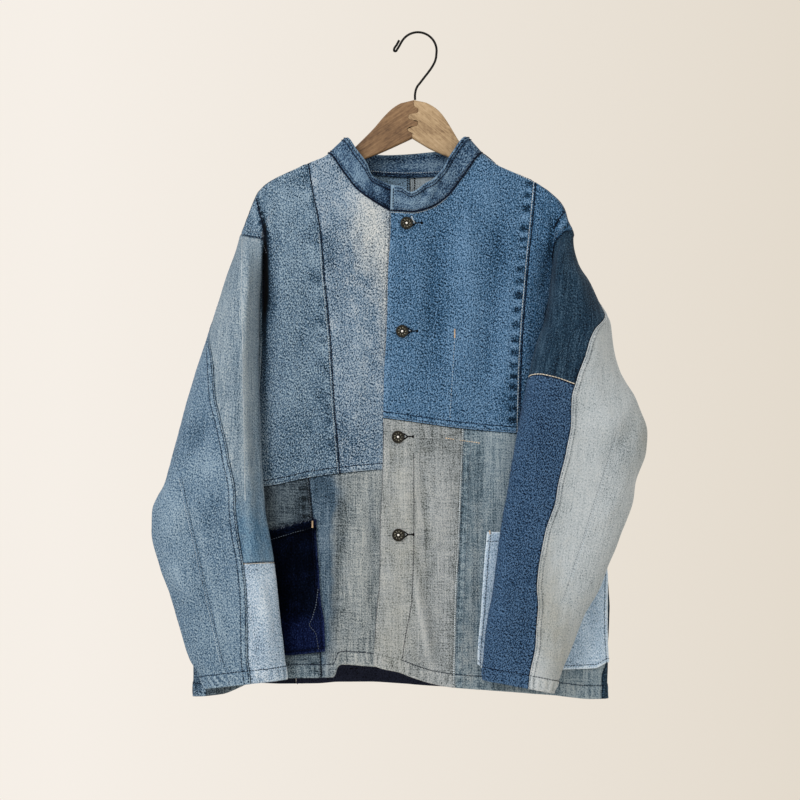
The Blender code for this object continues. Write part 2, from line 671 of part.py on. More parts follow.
def build_fronts():
    """Both fronts, each of four pieces of old cloth, and their pockets."""
    under_edge = moved(FRONT_EDGE, OVERLAP)
    right_side = front_edge("right", EDGE_TURN)
    left_side = front_edge("left", EDGE_TURN)
    right_rows = upper_shares(right_side, WAIST_RIGHT)
    left_rows = upper_shares(left_side, WAIST_LEFT)
    pieces = (
        ("right_front_upper_side", right_side, beside(CHEST_SEAM_RIGHT, -HALF), RIDGE,
         moved(WAIST_RIGHT, HALF), 7, right_rows, (0.16, 0.27, 0.38)),
        ("right_front_upper_centre", beside(CHEST_SEAM_RIGHT, HALF), beside(under_edge, 0),
         NECK_RIGHT, moved(WAIST_RIGHT, HALF), 8, right_rows, (0.22, 0.33, 0.43)),
        ("right_front_lower_side", right_side, beside(SKIRT_SEAM_RIGHT, -HALF),
         moved(WAIST_RIGHT, -HALF), HEM_RIGHT, 9, LOWER_ROWS, (0.17, 0.25, 0.33)),
        ("right_front_lower_centre", beside(SKIRT_SEAM_RIGHT, HALF), beside(under_edge, 0),
         moved(WAIST_RIGHT, -HALF), HEM_RIGHT, 8, LOWER_ROWS, (0.29, 0.35, 0.40)),
        ("left_front_upper_centre", beside(FRONT_EDGE, 0), beside(CHEST_SEAM_LEFT, -HALF),
         NECK_LEFT, moved(WAIST_LEFT, HALF), 9, left_rows, (0.09, 0.20, 0.35)),
        ("left_front_upper_side", beside(CHEST_SEAM_LEFT, HALF), left_side, RIDGE,
         moved(WAIST_LEFT, HALF), 5, left_rows, (0.10, 0.21, 0.35)),
        ("left_front_lower_centre", beside(FRONT_EDGE, 0), beside(SKIRT_SEAM_LEFT, -HALF),
         moved(WAIST_LEFT, -HALF), HEM_LEFT, 7, LOWER_ROWS, (0.33, 0.36, 0.36)),
        ("left_front_lower_side", beside(SKIRT_SEAM_LEFT, HALF), left_side,
         moved(WAIST_LEFT, -HALF), HEM_LEFT, 9, LOWER_ROWS, (0.36, 0.41, 0.45)))
    for name, left, right, top, bottom, columns, rows, colour in pieces:
        turn, z = body_sheet(left, right, top, bottom, shares(columns), rows)
        x = body_point(turn, z)[..., 0]
        lift = lap_lift(x) if name.startswith("left") else 0 * x
        cloth_piece(name, cloth_lift(turn, z, lift), colour)


POCKETS = {
    "right_pocket": dict(
        inner=seam((-620, -129), (-637.4, -129.3), (-681, -126.7), (-725.8, -124.2),
                   (-755, -119.7), (-800, -118.7)),
        outer=seam((-620, -246), (-800, -257)),
        top=level((-280, -642), (-188, -636), (-147, -626), (-131, -622)),
        bottom=level((-280, -797), (-169, -795.4), (-119, -790.4)),
        colour=(0.012, 0.02, 0.06)),
    "left_pocket": dict(
        inner=seam((-630, 88.5), (-680, 84), (-740, 80), (-800, 75.5), (-830, 75.5)),
        outer=seam((-630, 226), (-700, 234), (-830, 233)),
        top=level((75, -638), (240, -640)),
        bottom=level((75, -806), (84, -813), (160, -814), (225, -813), (239, -806)),
        colour=(0.30, 0.42, 0.54))}


def build_pockets():
    """Patch pockets, laid on the fronts' own surface and moved out."""
    for name, pocket in POCKETS.items():
        sides = (pocket["inner"], pocket["outer"])
        left, right = sides if name == "left_pocket" else sides[::-1]
        turn, z = body_sheet(beside(left, 0), beside(right, 0), pocket["top"],
                             pocket["bottom"], shares(11), shares(6))
        cloth_piece(name, cloth_lift(turn, z, POCKET_LIFT + 0 * z), pocket["colour"])


# How far along the top of each upper back piece the neck point is.
NECK_SHARE_LEFT = 0.706
NECK_SHARE_RIGHT = 0.321


def build_back():
    """The back: two halves above and three pieces below, down to the hem."""
    right_side = back_edge("right", EDGE_TURN)
    left_side = back_edge("left", EDGE_TURN)
    top = lambda x: np.where((x > -112.6) & (x < 80.6), NECK_BACK(x), RIDGE(x))
    upper, lower = moved(WAIST_BACK, BACK_WAIST_HALF), moved(WAIST_BACK, -BACK_WAIST_HALF)
    left_rows, right_rows = upper_shares(left_side, WAIST_BACK), upper_shares(right_side, WAIST_BACK)
    pieces = (
        ("back_upper_left", left_side, behind(BACK_SEAM_TOP, HALF), top, upper,
         split_shares(NECK_SHARE_LEFT, 7, 5), left_rows,
         (0.33, 0.36, 0.36)),
        ("back_upper_right", behind(BACK_SEAM_TOP, -HALF), right_side, top, upper,
         split_shares(NECK_SHARE_RIGHT, 5, 7), right_rows,
         (0.20, 0.30, 0.40)),
        ("back_lower_left", left_side, behind(BACK_SEAM_LEFT, HALF), lower, HEM_BACK,
         shares(8), LOWER_ROWS, (0.03, 0.06, 0.13)),
        ("back_lower_middle", behind(BACK_SEAM_LEFT, -HALF), behind(BACK_SEAM_RIGHT, HALF),
         lower, HEM_BACK, shares(9), LOWER_ROWS, (0.02, 0.035, 0.08)),
        ("back_lower_right", behind(BACK_SEAM_RIGHT, -HALF), right_side, lower, HEM_BACK,
         shares(8), LOWER_ROWS, (0.12, 0.22, 0.35)))
    for name, left, right, edge, bottom, columns, rows, colour in pieces:
        reach = 3 if "upper" in name else 1
        turn, z = body_sheet(left, right, edge, bottom, columns, rows, reach)
        cloth_piece(name, cloth_lift(turn, z, 0 * z), colour)


def beside_felled(side, which):
    """The felled seam, moved half a gap before or after it round the sleeve."""
    ring = SLEEVES[side]

    def line(z):
        half_width = np.abs(ring["outer"](z) - ring["inner"](z)) / 2
        half = SLEEVE_SEAM_HALF * (1 + HEAD_SEAM * (1 - ramp(-z, 330, 400)))
        return FELLED_SEAM[side](z) + which * np.degrees(half / half_width)

    return line


def arm_seam_half(z):
    """Half the gap of the seam under the arm, in degrees, wider where it starts."""
    return ARM_SEAM_HALF * (1 + 2 * (1 - ramp(-z, 480, 540)))


def build_sleeves():
    """Each sleeve: an upper and a lower piece in front, and one piece outside and behind."""
    colours = {"right": ((0.30, 0.37, 0.42), (0.31, 0.42, 0.50), (0.20, 0.29, 0.38)),
               "left": ((0.035, 0.075, 0.13), (0.08, 0.15, 0.26), (0.45, 0.48, 0.48))}
    for side in ("right", "left"):
        felled, seam_start = FELLED_SEAM[side], ARM_SEAM[side]
        before, after = beside_felled(side, -1), beside_felled(side, 1)
        inside = lambda z: seam_start + arm_seam_half(z)
        outside = lambda z: seam_start + 360 - arm_seam_half(z)
        armhole, join, end = ARMHOLES[side], SLEEVE_JOIN[side], cuff(side)
        body_rows = UNDERARM + (armhole(180) - UNDERARM) * (1 - shares(10, 2.0))
        front, back = armhole_columns(side, body_rows[2:])
        front = np.concatenate([front[::-1], [60, 100, 140, 180, felled(-255)]])
        back = np.concatenate([[felled(-255), 245, 265], back])
        front = (front - front[0]) / (front[-1] - front[0])
        back = (back - back[0]) / (back[-1] - back[0])
        upper_rows = shares(11, 1.3) if side == "right" else shares(8, 1.3)
        lower_rows = shares(5) if side == "right" else shares(9)
        outer_rows = []
        for line in (felled, inside):
            first, meet, last = (line_end(line, edge, z) for edge, z in
                                 ((armhole, -255.0), (join, -600.0), (end, -830.0)))
            knee = (meet - first) / (last - first)
            outer_rows.append(np.concatenate([knee * upper_rows, blend(knee, 1, lower_rows)[1:]]))
        pieces = (
            ("front_upper", inside, before, armhole, moved(join, JOIN_HALF),
             front, (upper_rows, upper_rows)),
            ("front_lower", inside, before, moved(join, -JOIN_HALF), end,
             front, (lower_rows, lower_rows)),
            ("outer", after, outside, armhole, end, back, outer_rows))
        for (name, low, high, top, bottom, columns, rows), colour in zip(pieces, colours[side]):
            around, z = sleeve_sheet(low, high, top, bottom, columns, rows)
            points = sleeve_point(side, around, z)
            if side == "right":
                points = points[:, ::-1]
            cloth_piece(side + "_sleeve_" + name, points, colour)


def build_collar():
    """The band collar, its left end over its right end."""
    station, share = np.meshgrid(np.linspace(0, 16, 37), np.linspace(1, 0, 4))
    cloth_piece("collar_band", collar_point(station, share), (0.10, 0.19, 0.31), COLLAR_WALL)


# The upper and lower edges of the two arms of the hanger, from the joint to the tips.
ARMS = {
    "hanger_arm_right": dict(
        upper=level((-200, -216), (-190, -203), (-165, -190), (-142, -180), (-112, -168),
                    (-96, -160), (-80, -143.7), (-57.1, -121.6), (-34.9, -97.9), (-4.4, -85.1)),
        lower=level((-200, -222), (-190, -223), (-160, -209), (-112, -187), (-68.2, -161),
                    (-50.2, -154.1), (-7.7, -134.6)),
        tip=-200.0,
        colour=WOOD_BROWN),
    "hanger_arm_left": dict(
        upper=level((-4.4, -85.1), (20.6, -94.5), (38.7, -117.4), (53.9, -138.2), (66, -155),
                    (80.6, -167), (106, -183.5), (130, -193), (151.6, -204), (162, -213),
                    (168, -221)),
        lower=level((-7.7, -134.6), (16.4, -148.5), (40.1, -159), (80, -182), (120, -203),
                    (155, -224), (168, -227)),
        tip=168.0,
        colour=WOOD_TAN)}
# The fingers of the joint between the arms, from the top down.
FINGERS = table("z x", (-85.1, -5.1), (-94.7, -5.8), (-99.3, 0.5), (-107, -12), (-115.2, -0.3),
                (-122.9, -13.1), (-128.5, -7.2), (-134.6, -7.2))


def build_arm(name, arm):
    """One arm of the hanger: its outline in the plane of the hanger, then its thickness."""
    away = -1 if arm["tip"] < 0 else 1
    gap = 0.2 * away
    outline = [(x + gap, z) for x, z in zip(FINGERS["x"], FINGERS["z"])]
    first, last = outline[-1][0], outline[0][0]
    outline += [(x, float(arm["lower"](x))) for x in np.linspace(first, arm["tip"], 15)[1:]]
    outline += [(x, float(arm["upper"](x))) for x in np.linspace(arm["tip"], last, 15)[:-1]]
    wood = bmesh.new()
    face = wood.faces.new([wood.verts.new((x * MM, -WOOD_HALF * MM, z * MM)) for x, z in outline])
    grown = bmesh.ops.extrude_face_region(wood, geom=[face])
    moved_verts = [item for item in grown["geom"] if isinstance(item, bmesh.types.BMVert)]
    bmesh.ops.translate(wood, verts=moved_verts, vec=(0, 2 * WOOD_HALF * MM, 0))
    bmesh.ops.recalc_face_normals(wood, faces=wood.faces[:])
    mesh = bpy.data.meshes.new(name)
    wood.to_mesh(mesh)
    wood.free()
    arm_object = bpy.data.objects.new(name, mesh)
    bpy.data.collections[COLLECTION].objects.link(arm_object)
    return finish(arm_object, name, arm["colour"], 0.5)


def build_hook():
    """The wire hook: a shank out of the wood, the crown, and a tip turned back on itself."""
    middle = WIRE - HOOK_RADIUS
    route = [(-3.7, -84.7), (-3.6, -77), (-1.5, -68.9), (3.6, -61.8), (9, -54.8), (14.4, -47.8),
             (19.2, -40.6), (22.6, -33)]
    for angle in range(-8, 151, 12):
        turn = math.radians(angle)
        route.append((HOOK_RADIUS * math.cos(turn), middle + HOOK_RADIUS * math.sin(turn)))
    route += [(-24.0, -16.6), (-27.3, -21.6), (-28.6, -23.3), (-30.4, -23.0), (-30.8, -20.9),
              (-27.6, -15.5), (-24.2, -9.4)]
    wire = bpy.data.curves.new("hanger_hook", 'CURVE')
    wire.dimensions = '3D'
    wire.bevel_depth = WIRE * MM
    wire.bevel_resolution = 2
    wire.use_fill_caps = True
    spline = wire.splines.new('POLY')
    spline.points.add(len(route) - 1)
    for point, (x, z) in zip(spline.points, route):
        point.co = (x * MM, 0, z * MM, 1)
    finish(bpy.data.objects.new("hanger_hook", wire), "hanger_hook", (0.01, 0.01, 0.01), 0.35, 0.8)


BUTTONS = table("x z", (-14.5, -244.4), (-20.4, -382.5), (-25.7, -517.1), (-25, -641.9))
# Half of a button cut through its middle: distance from the axis and height off the cloth.
BUTTON_PROFILE = ((0, 2.6), (1.8, 2.5), (2.6, 1.5), (4.4, 1.4), (5.4, 2.8), (6.8, 3.3),
                  (8.1, 2.6), (8.5, 1.2), (7.4, 0.1), (0, 0))


def build_buttons():
    """Four turned metal buttons on the left front."""
    for number, (x, z) in enumerate(zip(BUTTONS["x"], BUTTONS["z"]), 1):
        name = "button_" + str(number)
        profile = bmesh.new()
        last = None
        for radius, height in BUTTON_PROFILE:
            vert = profile.verts.new((radius * MM, 0, height * MM))
            if last:
                profile.edges.new((last, vert))
            last = vert
        mesh = bpy.data.meshes.new(name)
        profile.to_mesh(mesh)
        profile.free()
        button = bpy.data.objects.new(name, mesh)
        turned = button.modifiers.new("turned", 'SCREW')
        turned.steps = 16
        turned.render_steps = 16
        turned.use_merge_vertices = True
        turned.merge_threshold = 0.00001
        turn = on_front(x, z)
        seat = cloth_lift(turn, np.array(z), lap_lift(x) + CLOTH / 2 + 0.45)
        outward = Vector(cloth_lift(turn, np.array(z), 5.0) - cloth_lift(turn, np.array(z), 0.0))
        facing = outward.to_track_quat('Z', 'X').to_matrix().to_4x4()
        button.matrix_world = Matrix.Translation(Vector(seat) * MM) @ facing
        finish(button, name, (0.10, 0.095, 0.085), 0.4, 0.9)


def build():
    for obj in list(bpy.data.objects):
        bpy.data.objects.remove(obj, do_unlink=True)
    collection = bpy.data.collections.new(COLLECTION)
    bpy.context.scene.collection.children.link(collection)
    build_fronts()
    build_pockets()
    build_back()
    build_sleeves()
    build_collar()
    for name, arm in ARMS.items():
        build_arm(name, arm)
    build_hook()
    build_buttons()


build()
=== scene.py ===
import math

import bmesh
import bpy
import numpy as np
from mathutils import Matrix, Vector


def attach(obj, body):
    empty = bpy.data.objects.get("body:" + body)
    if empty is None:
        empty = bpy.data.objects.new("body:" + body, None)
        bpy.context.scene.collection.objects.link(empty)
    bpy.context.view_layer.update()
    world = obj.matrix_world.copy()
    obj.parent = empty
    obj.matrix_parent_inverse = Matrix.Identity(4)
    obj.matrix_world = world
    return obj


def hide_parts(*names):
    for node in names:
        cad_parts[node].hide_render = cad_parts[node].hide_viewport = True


# A boro jacket pieced from worn denim, hung on a wooden hanger with a wire hook.
# X runs to the wearer's left, -Y is the front, +Z is up, and the origin is under the crown of
# the hook. Tables are in millimetres and degrees.

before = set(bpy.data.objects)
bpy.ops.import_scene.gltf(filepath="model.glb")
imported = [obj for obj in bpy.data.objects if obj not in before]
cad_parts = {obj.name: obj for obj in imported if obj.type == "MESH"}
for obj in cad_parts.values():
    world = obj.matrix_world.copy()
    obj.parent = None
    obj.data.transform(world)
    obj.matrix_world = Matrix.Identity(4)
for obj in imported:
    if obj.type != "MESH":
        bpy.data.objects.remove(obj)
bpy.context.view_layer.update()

# camera, light and floor

studio = {
    "lens": 200.0,                     # mm
    "sensor": 36.0,                    # mm
    "middle": (-0.023, -0.018, -0.470),
    "frameWidth": 1.024,               # metres seen across the garment's front
    "paper": (0.80, 0.752, 0.695),     # the pale ground, on the lit side
    "paperShade": (0.67, 0.612, 0.53),  # and on the far side
    "paperTurn": (-0.075, 0.09),       # the directions between which it changes
    "paperStrength": 1.15,
    "floor": (0.78, 0.74, 0.68),
    "floorPlace": (-0.023, 0.0, -1.45),
    "floorRadius": 1.1,
    "softboxes": {                     # place, aim, size, power and colour
        "key": ((-1.9, -2.6, 1.1), (0, 0, -0.45), (1.3, 1.7), 58, (1.0, 0.99, 0.98)),
        "fill": ((2.2, -2.2, 0.2), (0, 0, -0.5), (1.6, 1.8), 8, (0.95, 0.97, 1.0)),
        "back": ((0.6, 2.6, 0.8), (0, 0, -0.45), (2.0, 1.6), 30, (1.0, 0.99, 0.97))}}


def linked(name, data):
    holder = bpy.data.objects.new(name, data)
    bpy.context.scene.collection.objects.link(holder)
    return holder


def meshOf(name, shape):
    mesh = bpy.data.meshes.new(name)
    shape.to_mesh(mesh)
    shape.free()
    return mesh


def standFor(piece, name):
    # this piece of the scene takes the place of the solid with this name
    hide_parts(name)
    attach(piece, "root")


def feed(tree, node, inputs):
    # each input takes a value or another node's output
    for name, source in inputs.items():
        if isinstance(source, bpy.types.NodeSocket):
            tree.links.new(source, node.inputs[name])
        else:
            node.inputs[name].default_value = source


def nodeOf(tree, kind, inputs=(), **settings):
    node = tree.nodes.new("ShaderNode" + kind)
    for name, value in settings.items():
        setattr(node, name, value)
    feed(tree, node, dict(inputs))
    return node


def shaderOf(name):
    material = bpy.data.materials.new(name)
    material.use_nodes = True
    return material, material.node_tree, material.node_tree.nodes["Principled BSDF"]


def hangCamera():
    camera = bpy.data.cameras.new("camera")
    camera.lens = studio["lens"]
    camera.sensor_width = studio["sensor"]
    camera.dof.use_dof = False
    camera.clip_start, camera.clip_end = 0.05, 60.0
    holder = linked("camera", camera)
    x, y, z = studio["middle"]
    holder.location = (x, y - studio["frameWidth"] * studio["lens"] / studio["sensor"], z)
    holder.rotation_euler = (math.radians(90), 0, 0)
    bpy.context.scene.camera = holder


def softbox(name, place, aim, size, power, colour):
    light = bpy.data.lights.new(name, 'AREA')
    light.shape = 'RECTANGLE'
    light.size, light.size_y = size
    light.energy = power
    light.color = colour
    holder = linked(name, light)
    holder.location = place
    holder.rotation_euler = (Vector(aim) - Vector(place)).to_track_quat('-Z', 'Y').to_euler()


def paperGround():
    world = bpy.data.worlds.new("paper")
    world.use_nodes = True
    bpy.context.scene.world = world
    tree = world.node_tree
    parts = nodeOf(tree, "SeparateXYZ", {0: nodeOf(tree, "TexCoord").outputs["Generated"]})
    first, last = studio["paperTurn"]
    across = nodeOf(tree, "MapRange", {"From Min": first, "From Max": last, "Value": parts.outputs["X"]})
    tint = nodeOf(tree, "Mix", {"A": (*studio["paper"], 1), "B": (*studio["paperShade"], 1),
                                "Factor": across.outputs["Result"]}, data_type='RGBA')
    feed(tree, tree.nodes["Background"], {"Color": tint.outputs["Result"],
                                          "Strength": studio["paperStrength"]})


def layFloor():
    disc = bmesh.new()
    bmesh.ops.create_circle(disc, cap_ends=True, segments=96, radius=studio["floorRadius"])
    bmesh.ops.translate(disc, verts=disc.verts[:], vec=studio["floorPlace"])
    floor = linked("floor", meshOf("floor", disc))
    material, tree, shader = shaderOf("pale floor")
    feed(tree, shader, {"Base Color": (*studio["floor"], 1), "Roughness": 0.9})
    floor.data.materials.append(material)


bpy.context.scene.view_settings.view_transform = 'Standard'
hangCamera()
paperGround()
for name, settings in studio["softboxes"].items():
    softbox(name, *settings)
layFloor()
print("studio is up")

# the surfaces on which every piece is laid

mm = 0.001
armholeLift = -0.3      # the edge of a sleeve is tucked this far under the body's cloth
underarmLift = 0.8      # and comes out by this under the arm
overlap = 28.0          # how far the right front runs on under the left front
lapHeight = 2.2         # the left front stands this far outside the right front
pocketLift = 3.0        # a pocket stands this far outside the front it is sewn to
bodySquareness = 3.0    # 2 is an ellipse, more is a flatter front with tighter sides
shoulderRadius = 12.0   # bend of the cloth over the arms of the hanger
shoulderSpread = 0.19   # how fast front and back part below the shoulder line
sleeveClear = 1.7       # from the middle of the body's cloth to the middle of a sleeve's
pocketClear = 4.6       # more room for the sleeves in front of the pockets
sleeveFullness = 0.8    # 1 is an ellipse, less is a flatter front with tighter edges
headLength = 70.0       # over this length the sleeve leaves the armhole for its own shape


def table(columns, *rows):
    # rows of numbers under named columns, as one array for each column
    return {name: np.array(column, float) for name, column in zip(columns.split(), zip(*rows))}


def smooth(rows, key, column):
    # a curve through the rows that never swings past them
    order = np.argsort(rows[key])
    places = rows[key][order]
    values = rows[column][order]
    steps = np.diff(places)
    slopes = np.diff(values) / steps
    tangents = np.zeros(len(places))
    tangents[0] = slopes[0]
    tangents[-1] = slopes[-1]
    for i in range(1, len(slopes)):
        before, after = slopes[i - 1], slopes[i]
        if before * after > 0:
            near = 2 * steps[i] + steps[i - 1]
            far = steps[i] + 2 * steps[i - 1]
            tangents[i] = (near + far) / (near / before + far / after)

    def value(at):
        at = np.clip(np.asarray(at, float), places[0], places[-1])
        i = np.clip(np.searchsorted(places, at) - 1, 0, len(steps) - 1)
        t = (at - places[i]) / steps[i]
        rise = values[i + 1] - values[i]
        bend = steps[i] * t * (1 - t) * (tangents[i] * (1 - t) - tangents[i + 1] * t)
        return values[i] + rise * t * t * (3 - 2 * t) + bend

    return value


def columnsOf(rows, key="z"):
    return {name: smooth(rows, key, name) for name in rows if name != key}


def blend(start, end, share):
    return start + (end - start) * share


def ramp(value, start, end):
    t = np.clip((value - start) / (end - start), 0, 1)
    return t * t * (3 - 2 * t)


# The body as level rings: its two side edges, and how far front and back stand off the middle.
bodyRings = columnsOf(table(
    "z     left  right  front  back",
    (-150, -228, 200, 38, 26),
    (-257, -228, 200, 38, 28),
    (-266, -220, 192, 38, 28),
    (-285, -207, 180, 39, 29),
    (-341, -205, 175, 40, 30),
    (-400, -206, 174, 41, 30),
    (-470, -212, 181, 42, 31),
    (-520, -228, 198, 42, 31),
    (-580, -250, 219, 42, 30),
    (-650, -268, 236, 41, 29),
    (-739, -281, 246.4, 39, 28),
    (-800, -287, 243, 37, 27),
    (-855, -287, 242, 36, 26)))

# The shoulder line, with the arch that it would take across the open neck.
shoulderRidge = smooth(table(
    "x       z",
    (-227.8, -257.3),
    (-220, -237),
    (-211, -213.8),
    (-206, -203.5),
    (-190.7, -189.4),
    (-165, -176.6),
    (-142, -166.4),
    (-121.6, -158.2),
    (-112.6, -153.6),
    (-90, -140),
    (-16, -118),
    (58, -138),
    (80.6, -153),
    (106, -170.8),
    (122, -177.4),
    (151.6, -190.7),
    (175, -207.4),
    (189.4, -225.3),
    (192.8, -238),
    (199.7, -251.5)), "x", "z")

# Soft folds: where each begins and ends, how wide it is and how far it stands out. Top and end
# are x on the body, and around on a sleeve.
foldColumns = "top topZ end endZ width height"
frontFolds = table(
    foldColumns,
    (-176, -215, -172, -560, 20, 3),
    (-128, -300, -118, -600, 34, -3),
    (-88, -330, -96, -660, 28, 3),
    (22, -240, 8, -520, 30, -2),
    (138, -262, 118, -500, 22, 3),
    (88, -400, 96, -640, 26, -3),
    (48, -560, 14, -850, 16, -3),
    (66, -560, 44, -850, 20, 3.5),
    (-236, -600, -258, -858, 22, 3),
    (-196, -620, -210, -858, 24, -3),
    (-152, -640, -160, -858, 26, 3),
    (-92, -660, -88, -858, 20, -3),
    (112, -660, 118, -858, 22, -4),
    (166, -640, 174, -858, 24, 4.5),
    (214, -660, 214, -858, 16, -3))
backFolds = table(
    foldColumns,
    (-150, -230, -135, -620, 26, 4),
    (-95, -300, -90, -700, 26, -3.5),
    (-30, -260, -45, -640, 32, 3),
    (60, -300, 66, -700, 28, -4),
    (118, -240, 120, -640, 24, 4.5),
    (-210, -600, -225, -858, 22, -4.5),
    (-160, -620, -168, -858, 24, 5),
    (-70, -600, -66, -858, 26, 4.5),
    (-10, -640, -4, -858, 24, -4),
    (70, -600, 76, -858, 24, 4.5),
    (150, -620, 160, -858, 26, -4.5),
    (200, -640, 206, -858, 18, 3.5))

# Edges of the front and back pieces at the sides, in degrees round from the side edge towards
# the front. Down to the underarm the two are apart and bound the armhole; below it they are sewn.
sideEdges = {
    "right": columnsOf(table(
        "z       front  back",
        (-257.3, 2, -2),
        (-260, 14, -14),
        (-265, 27, -24),
        (-275, 21, -19),
        (-285, 16.5, -16),
        (-341, 14, -14),
        (-400, 14, -13),
        (-435, 15, -7),
        (-458, 15, 4),
        (-470, 15, 15),
        (-560, 15, 15),
        (-650, 16, 16),
        (-860, 20.6, 20.6))),
    "left": columnsOf(table(
        "z       front  back",
        (-251.5, 3, -3),
        (-253.5, 16, -14),
        (-258.6, 21, -22),
        (-266, 21.5, -22),
        (-285, 13.5, -18),
        (-308, 9.5, -15.5),
        (-341, 14.5, -15),
        (-366, 20.5, -14),
        (-400, 20, -13),
        (-435, 16.5, -7),
        (-458, 15, 4),
        (-470, 15, 15),
        (-560, 10, 10),
        (-660, 6.5, 6.5),
        (-805, 7.5, 7.5),
        (-822, 13, 13),
        (-860, 14, 14)))}


def foldsAt(folds, across, z, grown=0.35, gone=1.25):
    # each fold has its full height from this share of its length, and has run out by the other
    push = 0.0
    for top, topZ, end, endZ, width, height in zip(*folds.values()):
        share = (topZ - z) / (topZ - endZ)
        along = ramp(share, 0, grown) * (1 - ramp(share, 0.85, gone))
        push = push + height * along * np.exp(-((across - blend(top, end, share)) / width) ** 2)
    return push


def bodyPoint(turn, z):
    # turn is 0 in the middle of the front, -90 and 90 at the side edges and 180 at the back
    turn = np.radians(turn)
    left, right = bodyRings["left"](z), bodyRings["right"](z)
    across = np.sin(turn)
    x = (left + right) / 2 + across * (right - left) / 2
    out = (1 - np.abs(across) ** bodySquareness + 1e-9) ** (1 / bodySquareness)
    front = np.cos(turn) > 0
    flat = out * np.where(front, bodyRings["front"](z), bodyRings["back"](z)) + 1e-6
    below = np.maximum(shoulderRidge(x) - z, 0)
    bend = np.sqrt(np.maximum(shoulderRadius ** 2 - (shoulderRadius - below) ** 2, 1e-9))
    spread = shoulderRadius + shoulderSpread * (below - shoulderRadius)
    overHanger = np.where(below < shoulderRadius, bend, spread)
    depth = (flat ** -4 + overHanger ** -4) ** -0.25
    push = np.where(front, foldsAt(frontFolds, x, z), foldsAt(backFolds, x, z))
    # folds die out towards the side edges and the shoulder line
    depth = depth + push * ramp(flat, 12, 30) * ramp(below, 8, 60)
    return np.stack([x, np.where(front, -depth, depth), z + 0 * x], axis=-1)


def onFront(x, z):
    left, right = bodyRings["left"](z), bodyRings["right"](z)
    return np.degrees(np.arcsin(np.clip((2 * x - left - right) / (right - left), -1, 1)))


def onBack(x, z):
    return 180 - onFront(x, z)


def sideEdge(side, face):
    edge = sideEdges[side][face]
    if side == "left":
        return lambda z: 90 - edge(z)
    start = -90 if face == "front" else 270
    return lambda z: start + edge(z)


# Seams that run down the body: place across at each height.
def seam(*rows):
    return smooth(table("z x", *rows), "z", "x")


chestSeamRight = seam((-160, -142), (-201.6, -135.7), (-254.7, -125.4), (-313.6, -120.3),
                      (-393.6, -112.6), (-478.7, -107.5), (-570, -99.8), (-610, -97))
chestSeamLeft = seam((-180, 151.6), (-239.4, 146), (-284, 141.3), (-343, 136.2),
                     (-370, 133.9), (-427.5, 130.6), (-503, 128.8), (-540, 128))
skirtSeamRight = seam((-560, -141), (-622, -134.8), (-740, -127), (-860, -123))
skirtSeamLeft = seam((-500, 58.5), (-589, 55), (-650, 52.5), (-728, 48.6), (-860, 46.5))
lapEdge = seam((-220, -35), (-240, -34.5), (-314, -38.4), (-376, -39.7), (-445.4, -43.5),
               (-559.4, -45.4), (-631, -48.6), (-705, -49.2), (-726, -51.8), (-815, -57.5))
backSeamTop = seam((-170, -10), (-560, -8))
backSeamRight = seam((-540, -150), (-860, -158))
backSeamLeft = seam((-540, 96), (-860, 104))


def level(*rows):
    return smooth(table("x z", *rows), "x", "z")


neckRight = level((-150, -170), (-142, -166.4), (-121.6, -158.2), (-112.6, -153.6), (-96, -174),
                  (-76.8, -198.4), (-57.6, -212.5), (-37, -224.5), (-31, -226.6), (0, -227.5))
neckLeft = level((-40, -226.5), (-31, -226.6), (-7.7, -227.5), (14, -222.7), (35.8, -208.6),
                 (58, -180.5), (80.6, -153), (106, -170.8), (122, -177.4), (151.6, -190.7))
neckBack = level((-112.6, -153.6), (-91, -171), (-55, -179), (-13, -181.5), (28, -180),
                 (60, -170), (80.6, -153))
waistRight = level((-260, -583), (-235, -583), (-194.6, -580), (-140, -569), (-97, -563),
                   (-48, -558.5), (0, -556.5))
waistLeft = level((-60, -490.8), (-42.6, -492.8), (65.3, -507), (126, -512), (178, -515), (230, -515))
waistBack = level((-260, -585.7), (-243, -583), (190, -515), (230, -508.7))
hemRight = level((-270, -848.6), (-249, -845.4), (-225, -835.8), (-210, -828.8), (-168, -824.8),
                 (-107, -823.8), (-103, -811), (-97, -807.7), (-60.7, -810), (0, -814))
hemLeft = level((-60, -806), (-50, -811.5), (-23, -817.9), (-5, -825), (18, -832), (45, -836.6),
                (84.5, -840), (120, -843), (174, -847), (222, -852.5), (245, -852.5))
hemBack = level((-287, -850), (-270, -848.6), (-212, -834.5), (-175, -836), (-130, -835.5),
                (-100, -833.5), (-61, -833.5), (-23, -835.5), (18, -838.5), (60, -841), (100, -842.5),
                (190, -847), (222, -852.5), (245, -852.5))


def corner(line, edge, z):
    # where a line that runs down meets an edge that runs across
    for _ in range(30):
        z = float(edge(bodyPoint(line(z), z)[..., 0]))
    return float(line(z)), z


def shares(count):
    return np.linspace(0, 1, count + 1)


